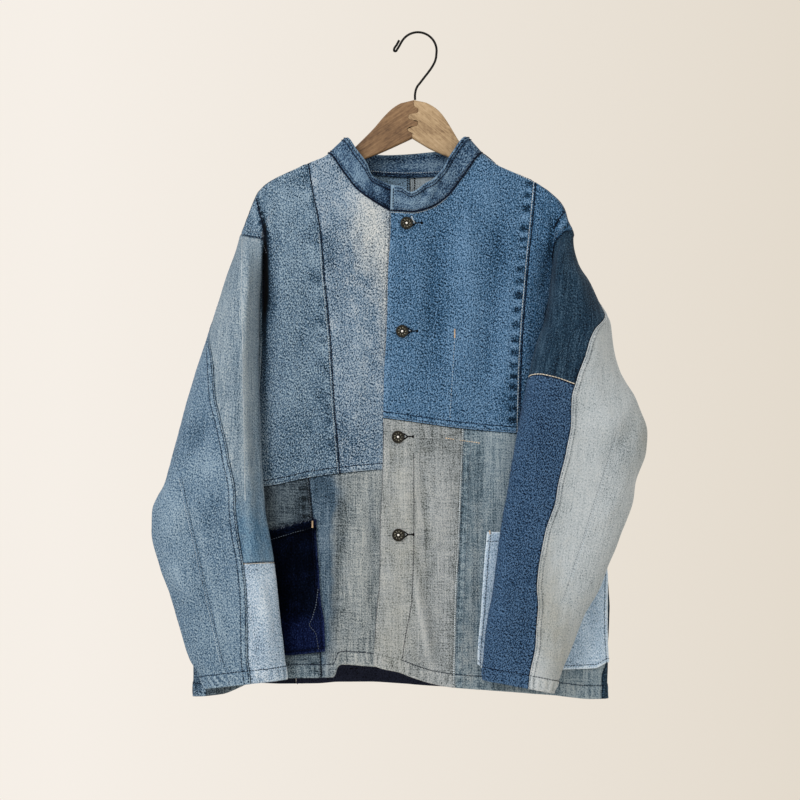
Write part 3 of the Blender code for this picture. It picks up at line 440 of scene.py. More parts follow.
def bodySheet(left, right, top, bottom, columns, rows, reach=1):
    # turn and height all over a piece; more reach keeps the bends of its side lines near them
    u, v = np.meshgrid(columns, rows)
    corners = {(i, j): corner(line, edge, start)
               for i, line in enumerate((left, right))
               for j, (edge, start) in enumerate(((top, -250), (bottom, -700)))}

    def across(edge, number):
        turn = blend(corners[0, number][0], corners[1, number][0], u)
        z = blend(corners[0, number][1], corners[1, number][1], u)
        for _ in range(8):
            z = edge(bodyPoint(turn, z)[..., 0])
        return z

    turn = blend(blend(corners[0, 0][0], corners[1, 0][0], u),
                 blend(corners[0, 1][0], corners[1, 1][0], u), v)
    for i, (line, share) in enumerate(((left, 1 - u), (right, u))):
        z = blend(corners[i, 0][1], corners[i, 1][1], v)
        straight = blend(corners[i, 0][0], corners[i, 1][0], v)
        turn = turn + (line(z) - straight) * share ** reach
    return turn, blend(across(top, 0), across(bottom, 1), v)


def clothLift(turn, z, lift):
    # this far out from the middle of the body's cloth
    step = 0.2
    along = bodyPoint(turn + step, z) - bodyPoint(turn - step, z)
    down = bodyPoint(turn, z - step) - bodyPoint(turn, z + step)
    outward = np.cross(down, along)
    outward /= np.linalg.norm(outward, axis=-1, keepdims=True)
    return bodyPoint(turn, z) + outward * np.asarray(lift)[..., None]


def lapLift(x):
    # the left front comes back to the body's cloth beyond the buttons
    return lapHeight * (1 - ramp(x, 0, 60))


# The sleeves as level rings: their outer and inner edges, where those stand from the middle of
# the body, and how far the front and the back of the sleeve stand off the line between them.
sleeveColumns = "z outer inner outerY innerY front back"
sleeveRings = {
    "right": columnsOf(table(
        sleeveColumns,
        (-257, -228, -200, 0, -2, 26, 24),
        (-270, -231, -202, 0, -6, 32, 26),
        (-310, -244.5, -203, -1, -12, 40, 30),
        (-371, -263.7, -203.5, -3, -20, 44, 32),
        (-427, -282, -203.5, -6, -30, 42, 28),
        (-488, -299.5, -201, -12, -44, 36, 18),
        (-548, -315, -198.4, -22, -52, 30, 12),
        (-579, -323.3, -196.5, -28, -56, 27, 11),
        (-609, -337.9, -194.6, -34, -59, 24, 11),
        (-637, -339.2, -190, -38, -61, 22, 11),
        (-677, -329.3, -183.5, -42, -62, 21, 12),
        (-716, -315.6, -179, -45, -62, 20, 12),
        (-755, -303.9, -174.3, -48, -62, 19, 12),
        (-800, -290.2, -169.3, -50, -61, 18, 12),
        (-822, -277, -168, -51, -60, 17, 12),
        (-840, -269, -167.5, -52, -60, 16, 12))),
    "left": columnsOf(table(
        sleeveColumns,
        (-251, 200, 176, 0, -2, 24, 24),
        (-266, 199.5, 170.2, 0, -6, 30, 26),
        (-294, 203.5, 169.6, 0, -12, 36, 28),
        (-316, 217.6, 169, -1, -15, 38, 28),
        (-350, 234, 165, -3, -20, 38, 28),
        (-372, 246.4, 161.5, -4, -25, 37, 27),
        (-397, 249.1, 152.5, -6, -32, 36, 25),
        (-431, 257.3, 143.8, -9, -41, 33, 20),
        (-454, 269.7, 138.5, -10, -45, 31, 15),
        (-477, 282.4, 133, -12, -48, 29, 11),
        (-513, 293.1, 126.5, -15, -51, 27, 9),
        (-535, 291.3, 122.7, -18, -53, 25, 9),
        (-577, 276.5, 115.5, -24, -56, 23, 9),
        (-603, 272.3, 111, -28, -58, 22, 9),
        (-640, 258.6, 104.7, -34, -60, 21, 9),
        (-676, 243.7, 100.4, -40, -61, 20, 9),
        (-718, 226.6, 95, -46, -61, 19, 9),
        (-742, 212.5, 90.8, -48, -61, 18, 10),
        (-786, 194.6, 84.6, -51, -60, 17, 10),
        (-820, 180.5, 82.8, -53, -59, 16, 11),
        (-848, 169.5, 87, -54, -59, 15, 11)))}

# Height of the armhole round each sleeve: around is 0 at the inner edge, 90 in front, 180 at
# the outer edge and 270 behind.
armholes = {
    "right": level((-40, -470), (-32, -440), (-24, -400), (-12, -341), (2, -285), (10, -272),
                   (18, -265), (60, -262), (120, -259.5), (180, -257.3), (240, -259.5),
                   (280, -263), (288, -268), (297, -300), (303, -341), (310, -400),
                   (315, -440), (320, -470)),
    "left": level((-60, -470), (-54, -440), (-44, -410), (-26, -366), (-9, -320), (4, -285),
                  (12, -270), (20, -263), (70, -256), (120, -253), (180, -251.5), (240, -254),
                  (266, -257), (274, -268), (281, -300), (286, -341), (292, -400),
                  (296, -440), (300, -470))}
armSeam = {"right": -40.0, "left": -60.0}
cuffMiddle = {"right": -831.0, "left": -834.3}
cuffTilt = {"right": 6.0, "left": 8.7}

# The felled seam between the front and the outer cloth of a sleeve, as around at each height.
felledSeam = {
    "right": seam((-250, 222), (-290, 200), (-371, 180), (-411, 132), (-427.5, 120),
                  (-471, 102), (-488, 93), (-539, 75), (-609, 62), (-657, 62), (-696, 63),
                  (-755, 70), (-808, 78), (-845, 83)),
    "left": seam((-250, 222), (-300, 200), (-352, 174), (-381, 117), (-415, 103), (-445, 89),
                 (-468, 81), (-500, 79), (-540, 77), (-598, 77), (-635, 74), (-673, 75),
                 (-705, 78), (-738, 89), (-756, 93), (-792, 100), (-816, 101), (-850, 105))}
# Where the upper and lower cloth of a sleeve's front meet, as height at each place around.
sleeveJoin = {
    "right": level((-40, -676), (40, -676), (60, -677), (90, -676)),
    "left": level((-60, -504), (-44, -484), (-25, -461), (-10, -447), (0, -442), (40, -438),
                  (60, -441), (90, -452))}

# Pressed creases and soft folds down the sleeves.
sleeveFolds = {
    "right": table(
        foldColumns,
        (76, -262, 47, -640, 14, 9),
        (47, -600, 52, -820, 16, 4),
        (120, -300, 112, -560, 24, -4),
        (24, -330, 20, -640, 16, -4),
        (150, -430, 128, -760, 18, 3.5),
        (96, -600, 96, -840, 16, -3),
        (240, -300, 236, -800, 26, 4),
        (285, -480, 280, -800, 22, -2)),
    "left": table(
        foldColumns,
        (60, -262, 52, -520, 22, 4),
        (112, -300, 120, -560, 20, 4),
        (84, -420, 92, -800, 18, -3),
        (34, -400, 40, -800, 20, 3),
        (140, -480, 132, -820, 20, 3),
        (225, -300, 232, -800, 26, 4),
        (280, -480, 282, -800, 20, -2))}


def sleeveRing(side, around, z):
    # a flattened ring on the line between its two edges, with the sleeve's folds standing off it
    ring = {name: curve(z) for name, curve in sleeveRings[side].items()}
    inward, forward = np.cos(np.radians(around)), np.sin(np.radians(around))
    x = (ring["outer"] + ring["inner"]) / 2 + (ring["inner"] - ring["outer"]) / 2 * inward
    line = (ring["outerY"] + ring["innerY"]) / 2 + (ring["innerY"] - ring["outerY"]) / 2 * inward
    full = np.abs(forward) ** sleeveFullness
    y = line + np.where(forward > 0, -ring["front"], ring["back"]) * full
    push = foldsAt(sleeveFolds[side], around, z, 0.2, 1.15)
    toward = 1 if side == "right" else -1
    return np.stack([x + toward * push * inward * 0.5, y - push * forward, z + 0 * x], axis=-1)


def clearOfBody(points):
    # pushes a sleeve's cloth out of the body's, straight away from the body's nearest cloth
    x, y, z = points[..., 0], points[..., 1], points[..., 2]
    room = sleeveClear + pocketClear * ramp(-z, 590, 628)
    left, right = bodyRings["left"](z) - room, bodyRings["right"](z) + room
    for _ in range(10):
        across = np.clip((2 * x - left - right) / (right - left), -0.9999, 0.9999)
        turn = np.degrees(np.arcsin(across))
        turn = np.where(y < 0, turn, 180 - turn)
        out = (1 - np.abs(across) ** bodySquareness) ** (1 / bodySquareness)
        depth = np.abs(bodyPoint(turn, z)[..., 1]) / out + room
        levelX, levelY = (2 * x - left - right) / (right - left), y / depth
        radius = np.abs(levelX) ** bodySquareness + np.abs(levelY) ** bodySquareness
        radius = radius ** (1 / bodySquareness)
        slopeX = np.sign(levelX) * (np.abs(levelX) / radius) ** 2 * 2 / (right - left)
        slopeY = np.sign(levelY) * (np.abs(levelY) / radius) ** 2 / depth
        push = np.maximum(1 - radius, 0) / (slopeX ** 2 + slopeY ** 2)
        x = x + push * slopeX
        y = y + push * slopeY
    return np.stack([x, y, z], axis=-1)


def armholePoint(side, around):
    z = armholes[side](around)
    edge = np.where(around < 180, sideEdges[side]["front"](z), sideEdges[side]["back"](z))
    away = -1 if side == "right" else 1
    return clothLift(away * (90 - edge), z, armholeLift + underarmLift * ramp(-z, 380, 440))


def sleevePoint(side, around, z):
    # at the armhole a sleeve is on the body's cloth, and lower down it has its own shape
    top = armholes[side](around)
    held = 1 - ramp(top - z, 0, headLength)
    shift = armholePoint(side, around) - sleeveRing(side, around, top)
    free = sleeveRing(side, around, z) + shift * held[..., None]
    return blend(free, clearOfBody(free), ramp(top - z, 0, 15)[..., None])


def cuff(side):
    return lambda around: cuffMiddle[side] + cuffTilt[side] * np.cos(np.radians(around))


def lineEnd(line, edge, z):
    for _ in range(30):
        z = float(edge(line(z)))
    return z


def sleeveSheet(low, high, top, bottom, columns, rows):
    u, v = columns[None, :], rows[:, None]

    def lineDown(line):
        return line(blend(lineEnd(line, top, -300.0), lineEnd(line, bottom, -700.0), v))

    around = blend(lineDown(low), lineDown(high), u)
    return around, blend(top(around[:1] + 0 * v), bottom(around[-1:] + 0 * v), v)


# The collar band from its left front end, round the back, to the end under the right of the
# neck: where it is sewn, which side of the body that is, and how its top edge stands from there.
collarCurves = columnsOf(table(
    "station  x    overX  overY  rise",
    (0, -35.2, 1, -2, 31),
    (0.6, -20, 0, -3, 29),
    (1, -8, -2, -5, 22.5),
    (2, 14, -1, -4, 31),
    (3, 36, -6, -3, 32),
    (4, 58, -14, -1, 28),
    (5, 80.6, -18, 0, 20),
    (6, 60, -13, 4, 26),
    (7, 28, -3, 5, 30),
    (8, -13, 0, 5, 28),
    (9, -55, 2, 4, 25),
    (10, -91, 13, 3, 25),
    (11, -112.6, 21, 0, 20),
    (12, -96, 18, -2, 24),
    (13, -77, 11, -2, 32),
    (14, -57.6, 2, -2, 27),
    (15, -37, 3, -2, 29),
    (16, -14, 2, -2, 18)), "station")
leftNeck = 5           # stations at which the band passes the shoulder lines
rightNeck = 11
collarFootLift = -3.0      # its lower edge reaches this far over the necks of the fronts
collarFootBehind = 0.5     # and a little less at the back


def collarFoot(station):
    x = collarCurves["x"](station)
    atBack = (station > leftNeck) & (station < rightNeck)
    atLeft = station <= leftNeck
    z = np.where(atBack, neckBack(x), np.where(atLeft, neckLeft(x), neckRight(x)))
    turn = np.where(atBack, onBack(x, z), onFront(x, z))
    return clothLift(turn, z, np.where(atLeft, 1.25 * lapLift(x), 0.0))


def collarPoint(station, share):
    # share is 0 at the lower edge and 1 at the top
    foot = collarFoot(station)
    rise = np.stack([collarCurves[name](station) for name in ("overX", "overY", "rise")], axis=-1)
    length = np.linalg.norm(rise, axis=-1, keepdims=True)
    atBack = (ramp(station, leftNeck - 0.5, leftNeck + 0.3)
              * ramp(-station, -rightNeck - 0.5, -rightNeck + 0.3))
    start = (collarFootLift + atBack[..., None] * collarFootBehind) / length
    return foot + rise * (start + (1 - start) * share[..., None])


# the cloth's own unevenness

hills = 97              # places across and down in the square of random heights that repeats


def uneven(across, down, size, seed):
    # a smooth random height from -1 to 1 whose hills are about this size in millimetres
    lattice = np.random.RandomState(seed).rand(hills, hills) * 2 - 1
    u, v = np.asarray(across) / size + 300.0, np.asarray(down) / size + 300.0
    i, j = np.floor(u).astype(int), np.floor(v).astype(int)
    s, t = u - i, v - j
    s, t = s * s * (3 - 2 * s), t * t * (3 - 2 * t)
    i, j, k, m = i % hills, j % hills, (i + 1) % hills, (j + 1) % hills
    return blend(blend(lattice[j, i], lattice[j, k], s), blend(lattice[m, i], lattice[m, k], s), t)


creaseColumns = "x z endX endZ bow width depth"


def creasePush(creases, x, z):
    # each crease is a bowed stroke, sharp on one side, soft on the other, fading at both ends
    push = np.zeros(np.broadcast(x, z).shape)
    for startX, startZ, endX, endZ, bow, width, depth in zip(*creases.values()):
        run = np.array([endX - startX, endZ - startZ])
        length = np.linalg.norm(run)
        run = run / length
        offX, offZ = x - startX, z - startZ
        beyond = (offX * run[0] + offZ * run[1]) / length
        share = np.clip(beyond, 0, 1)
        aside = offZ * run[0] - offX * run[1] - bow * 4 * share * (1 - share)
        fade = ramp(beyond, -0.05, 0.22) * (1 - ramp(beyond, 0.7, 1.06))
        spread = width * np.where(aside > 0, 1.0, 1.9)
        push = push + depth * fade * np.exp(-np.abs(aside / spread) ** 1.7)
    return push


def shadeAt(spots, x, z):
    # soft places: middle, half width, half height, slant and strength
    total = np.zeros(np.broadcast(x, z).shape)
    for spotX, spotZ, wide, high, slant, strength in spots:
        offX, offZ = x - spotX, z - spotZ
        offX = offX - offZ * slant
        total = total + strength * np.exp(-(offX / wide) ** 2 - (offZ / high) ** 2)
    return total


# denim


def sumOf(tree, first, second, scale=1.0, offset=0.0):
    # first + (second + offset) * scale
    shifted = nodeOf(tree, "Math", {0: second, 1: offset}, operation='ADD')
    product = nodeOf(tree, "Math", {0: shifted.outputs[0], 1: scale, 2: first}, operation='MULTIPLY_ADD')
    return product.outputs[0]


def noiseOf(tree, place, scale, shift, detail, rough=0.5):
    fit = nodeOf(tree, "Mapping", {"Scale": scale, "Location": shift, "Vector": place})
    noise = nodeOf(tree, "TexNoise", {"Scale": 1.0, "Detail": detail, "Roughness": rough,
                                      "Vector": fit.outputs[0]}, noise_dimensions='3D')
    return noise.outputs["Fac"]


def grainOf(tree, place, across, down, seed, detail=2.0, rough=0.55):
    # noise whose grains are this many millimetres across and down the cloth
    return noiseOf(tree, place, (1 / across, 1 / down, 1), (seed * 7.3, seed * 3.1, seed), detail, rough)


def tipped(tree, place, angle):
    return nodeOf(tree, "Mapping", {"Rotation": (0, 0, math.radians(angle)), "Vector": place}).outputs[0]


def readOf(tree, name):
    return nodeOf(tree, "Attribute", attribute_name=name).outputs["Fac"]


def mixOf(tree, first, second, factor, kind='MIX'):
    node = nodeOf(tree, "Mix", {"Factor": factor, "A": first, "B": second},
                  data_type='RGBA', blend_type=kind)
    return node.outputs["Result"]


def bumpOf(tree, shader, height, strength, distance):
    bump = nodeOf(tree, "Bump", {"Strength": strength, "Distance": distance, "Height": height})
    tree.links.new(bump.outputs[0], shader.inputs["Normal"])


def dyeOf(tree, fade, dye):
    # from a near black, reached mostly under painted shade, through the dark of the dye and its middle to
    # the bleached thread
    tint = nodeOf(tree, "ValToRGB", {"Fac": fade})
    tint.color_ramp.elements[0].color = (*[c * 0.3 for c in dye["dark"]], 1)
    tint.color_ramp.elements[1].color = (*dye["light"], 1)
    for stop, name in ((0.18, "dark"), (0.5, "mid")):
        tint.color_ramp.elements.new(stop).color = (*dye[name], 1)
    return tint.outputs["Color"]


denimFeel = dict(
    cloud=0.13, cloudSize=70, blotch=0.10,   # broad and small clouds of fade
    speck=2.0, grain=(1.45, 2.35), lean=24.0,   # the stone-washed speckle: strength, size and slant
    streak=0.20, slub=0.10, weft=0.08,       # warp streaks, thick yarns and weft bars
    worn=0.42, creaseWearAndShade=0.06, level=0.5,       # wear on seams, wear with painted highlight on the ridges of creases and painted shade in their hollows, and the whole fade
    seed=1, bump=0.7, rough=0.94, sheen=0.03, gloss=0.10)
twillScale = 0.36       # ribs about 1.2 mm apart
twillTint = 0.12
# painted deep shadow: from the second of these shades down to the first, the cloth is painted darker,
# almost to black
deepShade = {"From Min": -1.5, "From Max": -0.55, "To Min": 0.04}


def denim(name, look):
    feel = {**denimFeel, **look}
    material, tree, shader = shaderOf(name)
    seed = feel["seed"]
    place = nodeOf(tree, "UVMap", uv_map="cloth").outputs[0]
    cloud = grainOf(tree, place, feel["cloudSize"], feel["cloudSize"] * 1.5, seed, 3.0, 0.6)
    blotch = grainOf(tree, place, 13, 19, seed + 11)
    streak = grainOf(tree, place, 1.6, 34, seed + 1)
    slub = grainOf(tree, place, 5.0, 140, seed + 2, 1.0)
    speck = grainOf(tree, tipped(tree, place, feel["lean"]), *feel["grain"], seed + 3, 1.5, 0.6)
    weft = grainOf(tree, place, 26, 1.5, seed + 4, 1.0)
    fade = feel["level"]
    for grain, label, gain in ((cloud, "cloud", 4), (blotch, "blotch", 3), (streak, "streak", 2),
                               (slub, "slub", 2), (speck, "speck", 2), (weft, "weft", 2)):
        fade = sumOf(tree, fade, grain, feel[label] * gain, -0.5)
    speckled = sumOf(tree, 0.5, speck, 2.4, -0.45)
    rubbed = nodeOf(tree, "Math", {0: speckled, 1: feel["worn"]}, operation='MULTIPLY').outputs[0]
    # ridges of creases are painted lighter and their hollows darker, partly wear and partly painted light
    # and shade
    for label, gain in (("worn", rubbed), ("creaseWearAndShade", feel["creaseWearAndShade"]), ("shade", 1.0)):
        fade = sumOf(tree, fade, readOf(tree, label), gain)
    colour = dyeOf(tree, fade, feel)
    if "second" in feel:
        ragged = sumOf(tree, readOf(tree, "second"), blotch, 0.9, -0.5)
        ragged = sumOf(tree, ragged, speck, 0.55, -0.5)
        reach = nodeOf(tree, "MapRange", {"From Min": 0.05, "From Max": 0.95, "Value": ragged})
        colour = mixOf(tree, colour, dyeOf(tree, fade, feel["second"]), reach.outputs["Result"])
    twill = nodeOf(tree, "TexWave", {"Scale": twillScale, "Distortion": 0.6, "Detail": 0.0,
                                     "Vector": place},
                   wave_type='BANDS', bands_direction='DIAGONAL', wave_profile='SIN')
    ribbed = mixOf(tree, colour, twill.outputs["Color"], twillTint, 'MULTIPLY')
    # painted deep shadow: where the painted shade is deepest the colour is multiplied down almost to black
    deep = nodeOf(tree, "MapRange", {**deepShade, "Value": readOf(tree, "shade")})
    height = 0.0
    for relief, gain in ((twill.outputs["Fac"], 0.35), (streak, 0.9), (speck, 1.4),
                         (grainOf(tree, place, 11, 15, seed + 9, 3.0, 0.5), 2.6)):
        height = sumOf(tree, height, relief, gain)
    bumpOf(tree, shader, height, feel["bump"], 0.0006)
    feed(tree, shader, {"Base Color": mixOf(tree, ribbed, deep.outputs["Result"], 1.0, 'MULTIPLY'),
                        "Roughness": feel["rough"], "Specular IOR Level": feel["gloss"],
                        "Sheen Weight": feel["sheen"], "Sheen Roughness": 0.5,
                        "Sheen Tint": (0.85, 0.90, 1.0, 1)})
    return material


# seams: how the cloth dips at its edge, the strip that stands up beside it and how wide that is,
# where its lines of stitching pull it down with painted shade in their grooves, its puckers and how
# far apart they are, its wear, the painted shade where its cloth tucks under, the light line along
# its edge, partly wear and partly a painted highlight, and the light and dark blocks that a roped
# seam leaves beside it

plainSeam = dict(dip=0.0, lift=0.0, width=3.0, lines=(), pucker=0.0, rib=6.5, worn=0.0, gloom=0.0,
                 edgeWearAndHighlight=0.0, rope=0.0, ropeStep=18.0, ropeWidth=11.0)
seamKinds = {
    "free": dict(),
    "sewn": dict(dip=0.9, width=4.0, pucker=0.25, worn=0.30, gloom=0.45),
    "felled": dict(dip=0.4, lift=0.9, width=9.0, lines=(2.0, 7.6), pucker=0.40, worn=0.75, edgeWearAndHighlight=0.9),
    "under": dict(dip=0.9, width=5.0, pucker=0.30, worn=0.30, gloom=0.85),
    "hem": dict(dip=0.2, lift=0.9, width=18.5, lines=(17.0,), pucker=0.90, rib=4.6, worn=0.80, edgeWearAndHighlight=0.7,
                rope=0.13, ropeStep=8.5, ropeWidth=13.0),
    "fold": dict(dip=0.3, lift=0.5, width=6.0, lines=(5.0,), pucker=0.30, worn=0.60, edgeWearAndHighlight=1.2),
    "lap": dict(dip=0.4, lift=0.3, width=5.0, pucker=0.15, worn=0.55),
    "roped": dict(dip=0.6, width=4.0, lines=(2.6,), pucker=0.35, worn=0.55, gloom=0.35, rope=0.26)}


def edgeRelief(kind, away, along, seed):
    # height, wear, painted shade and roped tone that a seam gives the cloth, this far away from its edge
    name, changes = (kind, {}) if isinstance(kind, str) else kind
    style = {**plainSeam, **seamKinds[name], **changes}
    width = style["width"]
    rise = -style["dip"] * np.exp(-(away / 1.6) ** 2)
    rise = rise + style["lift"] * (1 - ramp(away, width - 0.8, width + 0.8))
    # painted shade where the cloth tucks under at its edge
    dark = -style["gloom"] * np.exp(-(away / 1.4) ** 2)
    for place in style["lines"]:
        rise = rise - 0.45 * np.exp(-((away - place) / 1.2) ** 2)
        # painted shade in the groove of each line of stitching
        dark = dark - 0.28 * np.exp(-((away - place) / 1.1) ** 2)
    near = np.exp(-(np.maximum(away - width * 0.5, 0) / (width * 0.45 + 2.5)) ** 2)
    ribs = uneven(along, away * 0.3, style["rib"], seed)
    ribs = ribs + 0.5 * uneven(along + away * 0.5, away, 2.1 * style["rib"], seed + 1)
    rise = rise + style["pucker"] * near * ribs
    strip = np.exp(-((away - width * 0.5) / (width * 0.5 + 1.5)) ** 2)
    worn = style["worn"] * strip * (0.45 + 1.1 * ribs)
    # a light line along the very edge, partly wear and partly a painted highlight
    worn = worn + style["edgeWearAndHighlight"] * np.exp(-((away - 0.6) / 1.2) ** 2)
    if style["rope"]:
        phase = along / style["ropeStep"] + 0.5 * uneven(along, 0 * away, 34, seed + 5)
        block = np.clip(2.2 * np.sin(2 * np.pi * phase), -1, 1)
        band = ramp(away, 2.6, 4.4) * (1 - ramp(away, style["ropeWidth"], style["ropeWidth"] + 3.5))
        ragged = 1 + 0.5 * uneven(along, away, 9, seed + 6)
        dark = dark + style["rope"] * band * (block - 0.45) * ragged
        rise = rise + 0.5 * band * block
    return rise, worn, dark


finePlaces = {
    "hem": (0, 1.4, 3.6, 6.0, 8.6, 11.2, 13.6, 15.4, 16.4, 17.2, 18.2, 19.4, 21.0),
    "other": (0, 0.8, 1.8, 3.0, 4.4, 6.0, 7.2, 8.2, 9.4, 11.0),
    "narrow": (0, 1.0, 2.6, 5.0)}


def fineShares(length, step, first, last):
    # places across a length, close together near both ends, where the seams are
    before, after = (np.array(finePlaces["hem" if seam == "hem" else "other"]) for seam in (first, last))
    if length < before[-1] + after[-1] + 2 * step:
        before = after = np.array(finePlaces["narrow"])
    count = max(int(round((length - before[-1] - after[-1]) / step)), 2)
    middle = np.linspace(before[-1], length - after[-1], count + 1)[1:-1]
    return np.concatenate([before, middle, (length - after)[::-1]]) / length


def unitOf(vectors):
    return vectors / (np.linalg.norm(vectors, axis=-1, keepdims=True) + 1e-9)


def outwardOf(points):
    return unitOf(np.cross(np.gradient(points, axis=0), np.gradient(points, axis=1)))


def runsOf(points):
    # lengths along the cloth, across and down
    across = np.zeros(points.shape[:2])
    down = np.zeros(points.shape[:2])
    across[:, 1:] = np.cumsum(np.linalg.norm(np.diff(points, axis=1), axis=-1), axis=1)
    down[1:] = np.cumsum(np.linalg.norm(np.diff(points, axis=0), axis=-1), axis=0)
    return across, down


sheets = {}


def layCloth(name, points, look, edges, flat, crease, wall=1.3, x=None, z=None):
    # points are rows down and columns across, seen from outside; edges name each side's seam
    across, down = runsOf(points)
    fall = points[..., 2].max() - points[..., 2]
    sides = {"left": (across, fall), "right": (across[:, -1:] - across, fall),
             "top": (down, across), "bottom": (down[-1:] - down, across)}
    relief, worn, shade = np.zeros((3,) + across.shape)
    for number, (side, kind) in enumerate(edges.items()):
        away, along = sides[side]
        rise, rubbed, dark = edgeRelief(kind, away, along, look["seed"] * 10 + number)
        relief = relief + rise
        worn = np.maximum(worn, rubbed)
        shade = shade + dark
    outward = outwardOf(points)
    points = points + outward * relief[..., None]
    x = points[..., 0] if x is None else x
    z = points[..., 2] if z is None else z
    marks = dict(worn=worn, creaseWearAndShade=crease + 0 * across, shade=shade + shadeAt(look.get("spots", ()), x, z),
                 second=shadeAt(look.get("seconds", ()), x, z))
    rows, columns = across.shape
    sheet = bmesh.new()
    bmesh.ops.create_grid(sheet, x_segments=columns - 1, y_segments=rows - 1, size=1)
    bmesh.ops.reverse_faces(sheet, faces=sheet.faces[:])
    mesh = meshOf(name + "_cloth", sheet)
    mesh.vertices.foreach_set("co", (points * mm).ravel())
    corners = np.empty(len(mesh.loops), int)
    mesh.loops.foreach_get("vertex_index", corners)
    laid = np.stack([np.broadcast_to(place, across.shape).ravel() for place in flat], axis=-1)
    mesh.uv_layers.new(name="cloth").data.foreach_set("uv", laid[corners].ravel())
    for label, value in marks.items():
        layer = mesh.attributes.new(label, 'FLOAT', 'POINT')
        layer.data.foreach_set("value", np.ascontiguousarray(value, dtype=np.float32).ravel())
    mesh.shade_smooth()
    piece = linked(name + "_cloth", mesh)
    mesh.materials.append(denim(name, look))
    back = look.get("reverse", tuple(0.62 * c + 0.12 for c in look["mid"]))
    reverse = {**look, "dark": tuple(c * 0.6 for c in back), "mid": back,
               "light": tuple(min(c * 1.4, 1) for c in back)}
    reverse.pop("second", None)
    mesh.materials.append(denim(name + " reverse", reverse))
    thickness = piece.modifiers.new("wall", 'SOLIDIFY')
    thickness.thickness = wall * mm
    thickness.offset = 0
    thickness.material_offset = 1
    standFor(piece, name)
    sheets[name] = dict(points=points, outward=outward, sides=sides)
    return piece


def alongEdge(name, side, offset, start=0.0, end=1.0):
    # the line at this distance inside one side of a piece, with the way out of the cloth there
    sheet = sheets[name]
    away = sheet["sides"][side][0]
    fields = np.concatenate([sheet["points"], sheet["outward"]], axis=-1)
    if side in ("top", "bottom"):
        away, fields = away.T, fields.transpose(1, 0, 2)
    line = []
    for distances, values in zip(away, fields):
        order = np.argsort(distances)
        line.append([np.interp(offset, distances[order], values[order, k]) for k in range(6)])
    line = np.array(line)
    first, last = int(start * (len(line) - 1)), int(math.ceil(end * (len(line) - 1))) + 1
    return line[first:last, :3], line[first:last, 3:]


# thread

threads = {
    # navy rows are mostly laid wider and darker than the real thread, so that they also carry the painted
    # shade of the seam grooves they lie in
    "navy": dict(colour=(0.0028, 0.0050, 0.016), stitch=3.4, gap=0.2, width=1.25, tall=0.45),
    "black": dict(colour=(0.0012, 0.0012, 0.002), stitch=1.0, gap=0.0, width=2.4, tall=0.5),
    "cream": dict(colour=(0.60, 0.56, 0.49), stitch=5.0, gap=-1.0, width=1.4, tall=0.6),
    "pale": dict(colour=(0.46, 0.53, 0.59), stitch=2.0, gap=1.5, width=0.6, tall=0.2),
    "white": dict(colour=(0.52, 0.60, 0.67), stitch=2.6, gap=0.5, width=1.1, tall=0.4),
    "tan": dict(colour=(0.70, 0.52, 0.34), stitch=2.6, gap=0.4, width=1.1, tall=0.4),
    "grey": dict(colour=(0.11, 0.14, 0.18), stitch=2.5, gap=0.7, width=0.9, tall=0.3)}
sewing = {name: [] for name in threads}


def sew(thread, line, lift=0.7, **changes):
    # a line is its points and the way out of the cloth at each
    sewing[thread].append((*line, lift, changes))


def runAlong(line):
    return np.concatenate([[0], np.cumsum(np.linalg.norm(np.diff(line, axis=0), axis=-1))])


def readAlong(places, run, values):
    return np.stack([np.interp(places, run, column) for column in values.T], axis=-1)


def axesOf(forward, up):
    # Z is straight up from the cloth, and X is as near forward as that lets it be
    forward = (forward - up * forward.dot(up)).normalized()
    return Matrix((forward, up.cross(forward), up)).transposed().to_4x4()


def stitchUp():
    for name, thread in threads.items():
        everything = bmesh.new()
        for line, outward, lift, changes in sewing[name]:
            style = {**thread, **changes}
            spacing = style["stitch"] + style["gap"]
            run = runAlong(line)
            places = np.arange(spacing / 2, max(run[-1], spacing * 0.6), spacing)
            reach = 0.4 * spacing
            ahead = readAlong(places + reach, run, line) - readAlong(places - reach, run, line)
            spots, ups = readAlong(places, run, line), readAlong(places, run, outward)
            row = bmesh.new()
            for spot, forward, up in zip(spots, ahead, ups):
                forward, up = Vector(forward), Vector(up).normalized()
                if forward.length < 1e-6:
                    continue
                size = Matrix.Diagonal((style["stitch"] / 2, style["width"] / 2, style["tall"], 1))
                place = Matrix.Translation((Vector(spot) + up * lift) * mm) @ axesOf(forward, up) @ size
                bmesh.ops.create_icosphere(row, subdivisions=1, radius=mm, matrix=place)
            mesh = meshOf("row", row)
            everything.from_mesh(mesh)
            bpy.data.meshes.remove(mesh)
        mesh = meshOf(name + "_thread", everything)
        mesh.shade_smooth()
        piece = linked(name + "_thread", mesh)
        dark, light = (tuple(min(c * tone, 1) for c in thread["colour"]) for tone in (0.6, 1.35))
        mesh.materials.append(finishOf(name + " thread", dark, light, 30, 0.85, gloss=0.1))
        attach(piece, "root")
        print(name, "thread:", len(mesh.polygons), "faces")


def finishOf(name, dark, light, grain, roughness, metallic=0.0, bump=0.0, gloss=0.4):
    # a plain finish mottled between two colours, in spots of about this many millimetres
    material, tree, shader = shaderOf(name)
    place = nodeOf(tree, "TexCoord").outputs["Object"]
    mottle = noiseOf(tree, place, (1000 / grain,) * 3, (0, 0, 0), 3.0)
    tint = nodeOf(tree, "ValToRGB", {"Fac": mottle})
    for number, (position, colour) in enumerate(((0.32, dark), (0.68, light))):
        tint.color_ramp.elements[number].position = position
        tint.color_ramp.elements[number].color = (*colour, 1)
    feed(tree, shader, {"Base Color": tint.outputs["Color"], "Roughness": roughness,
                        "Metallic": metallic, "Specular IOR Level": gloss})
    if bump:
        bumpOf(tree, shader, mottle, bump, 0.0004)
    return material


# soft folds and creases of this jacket

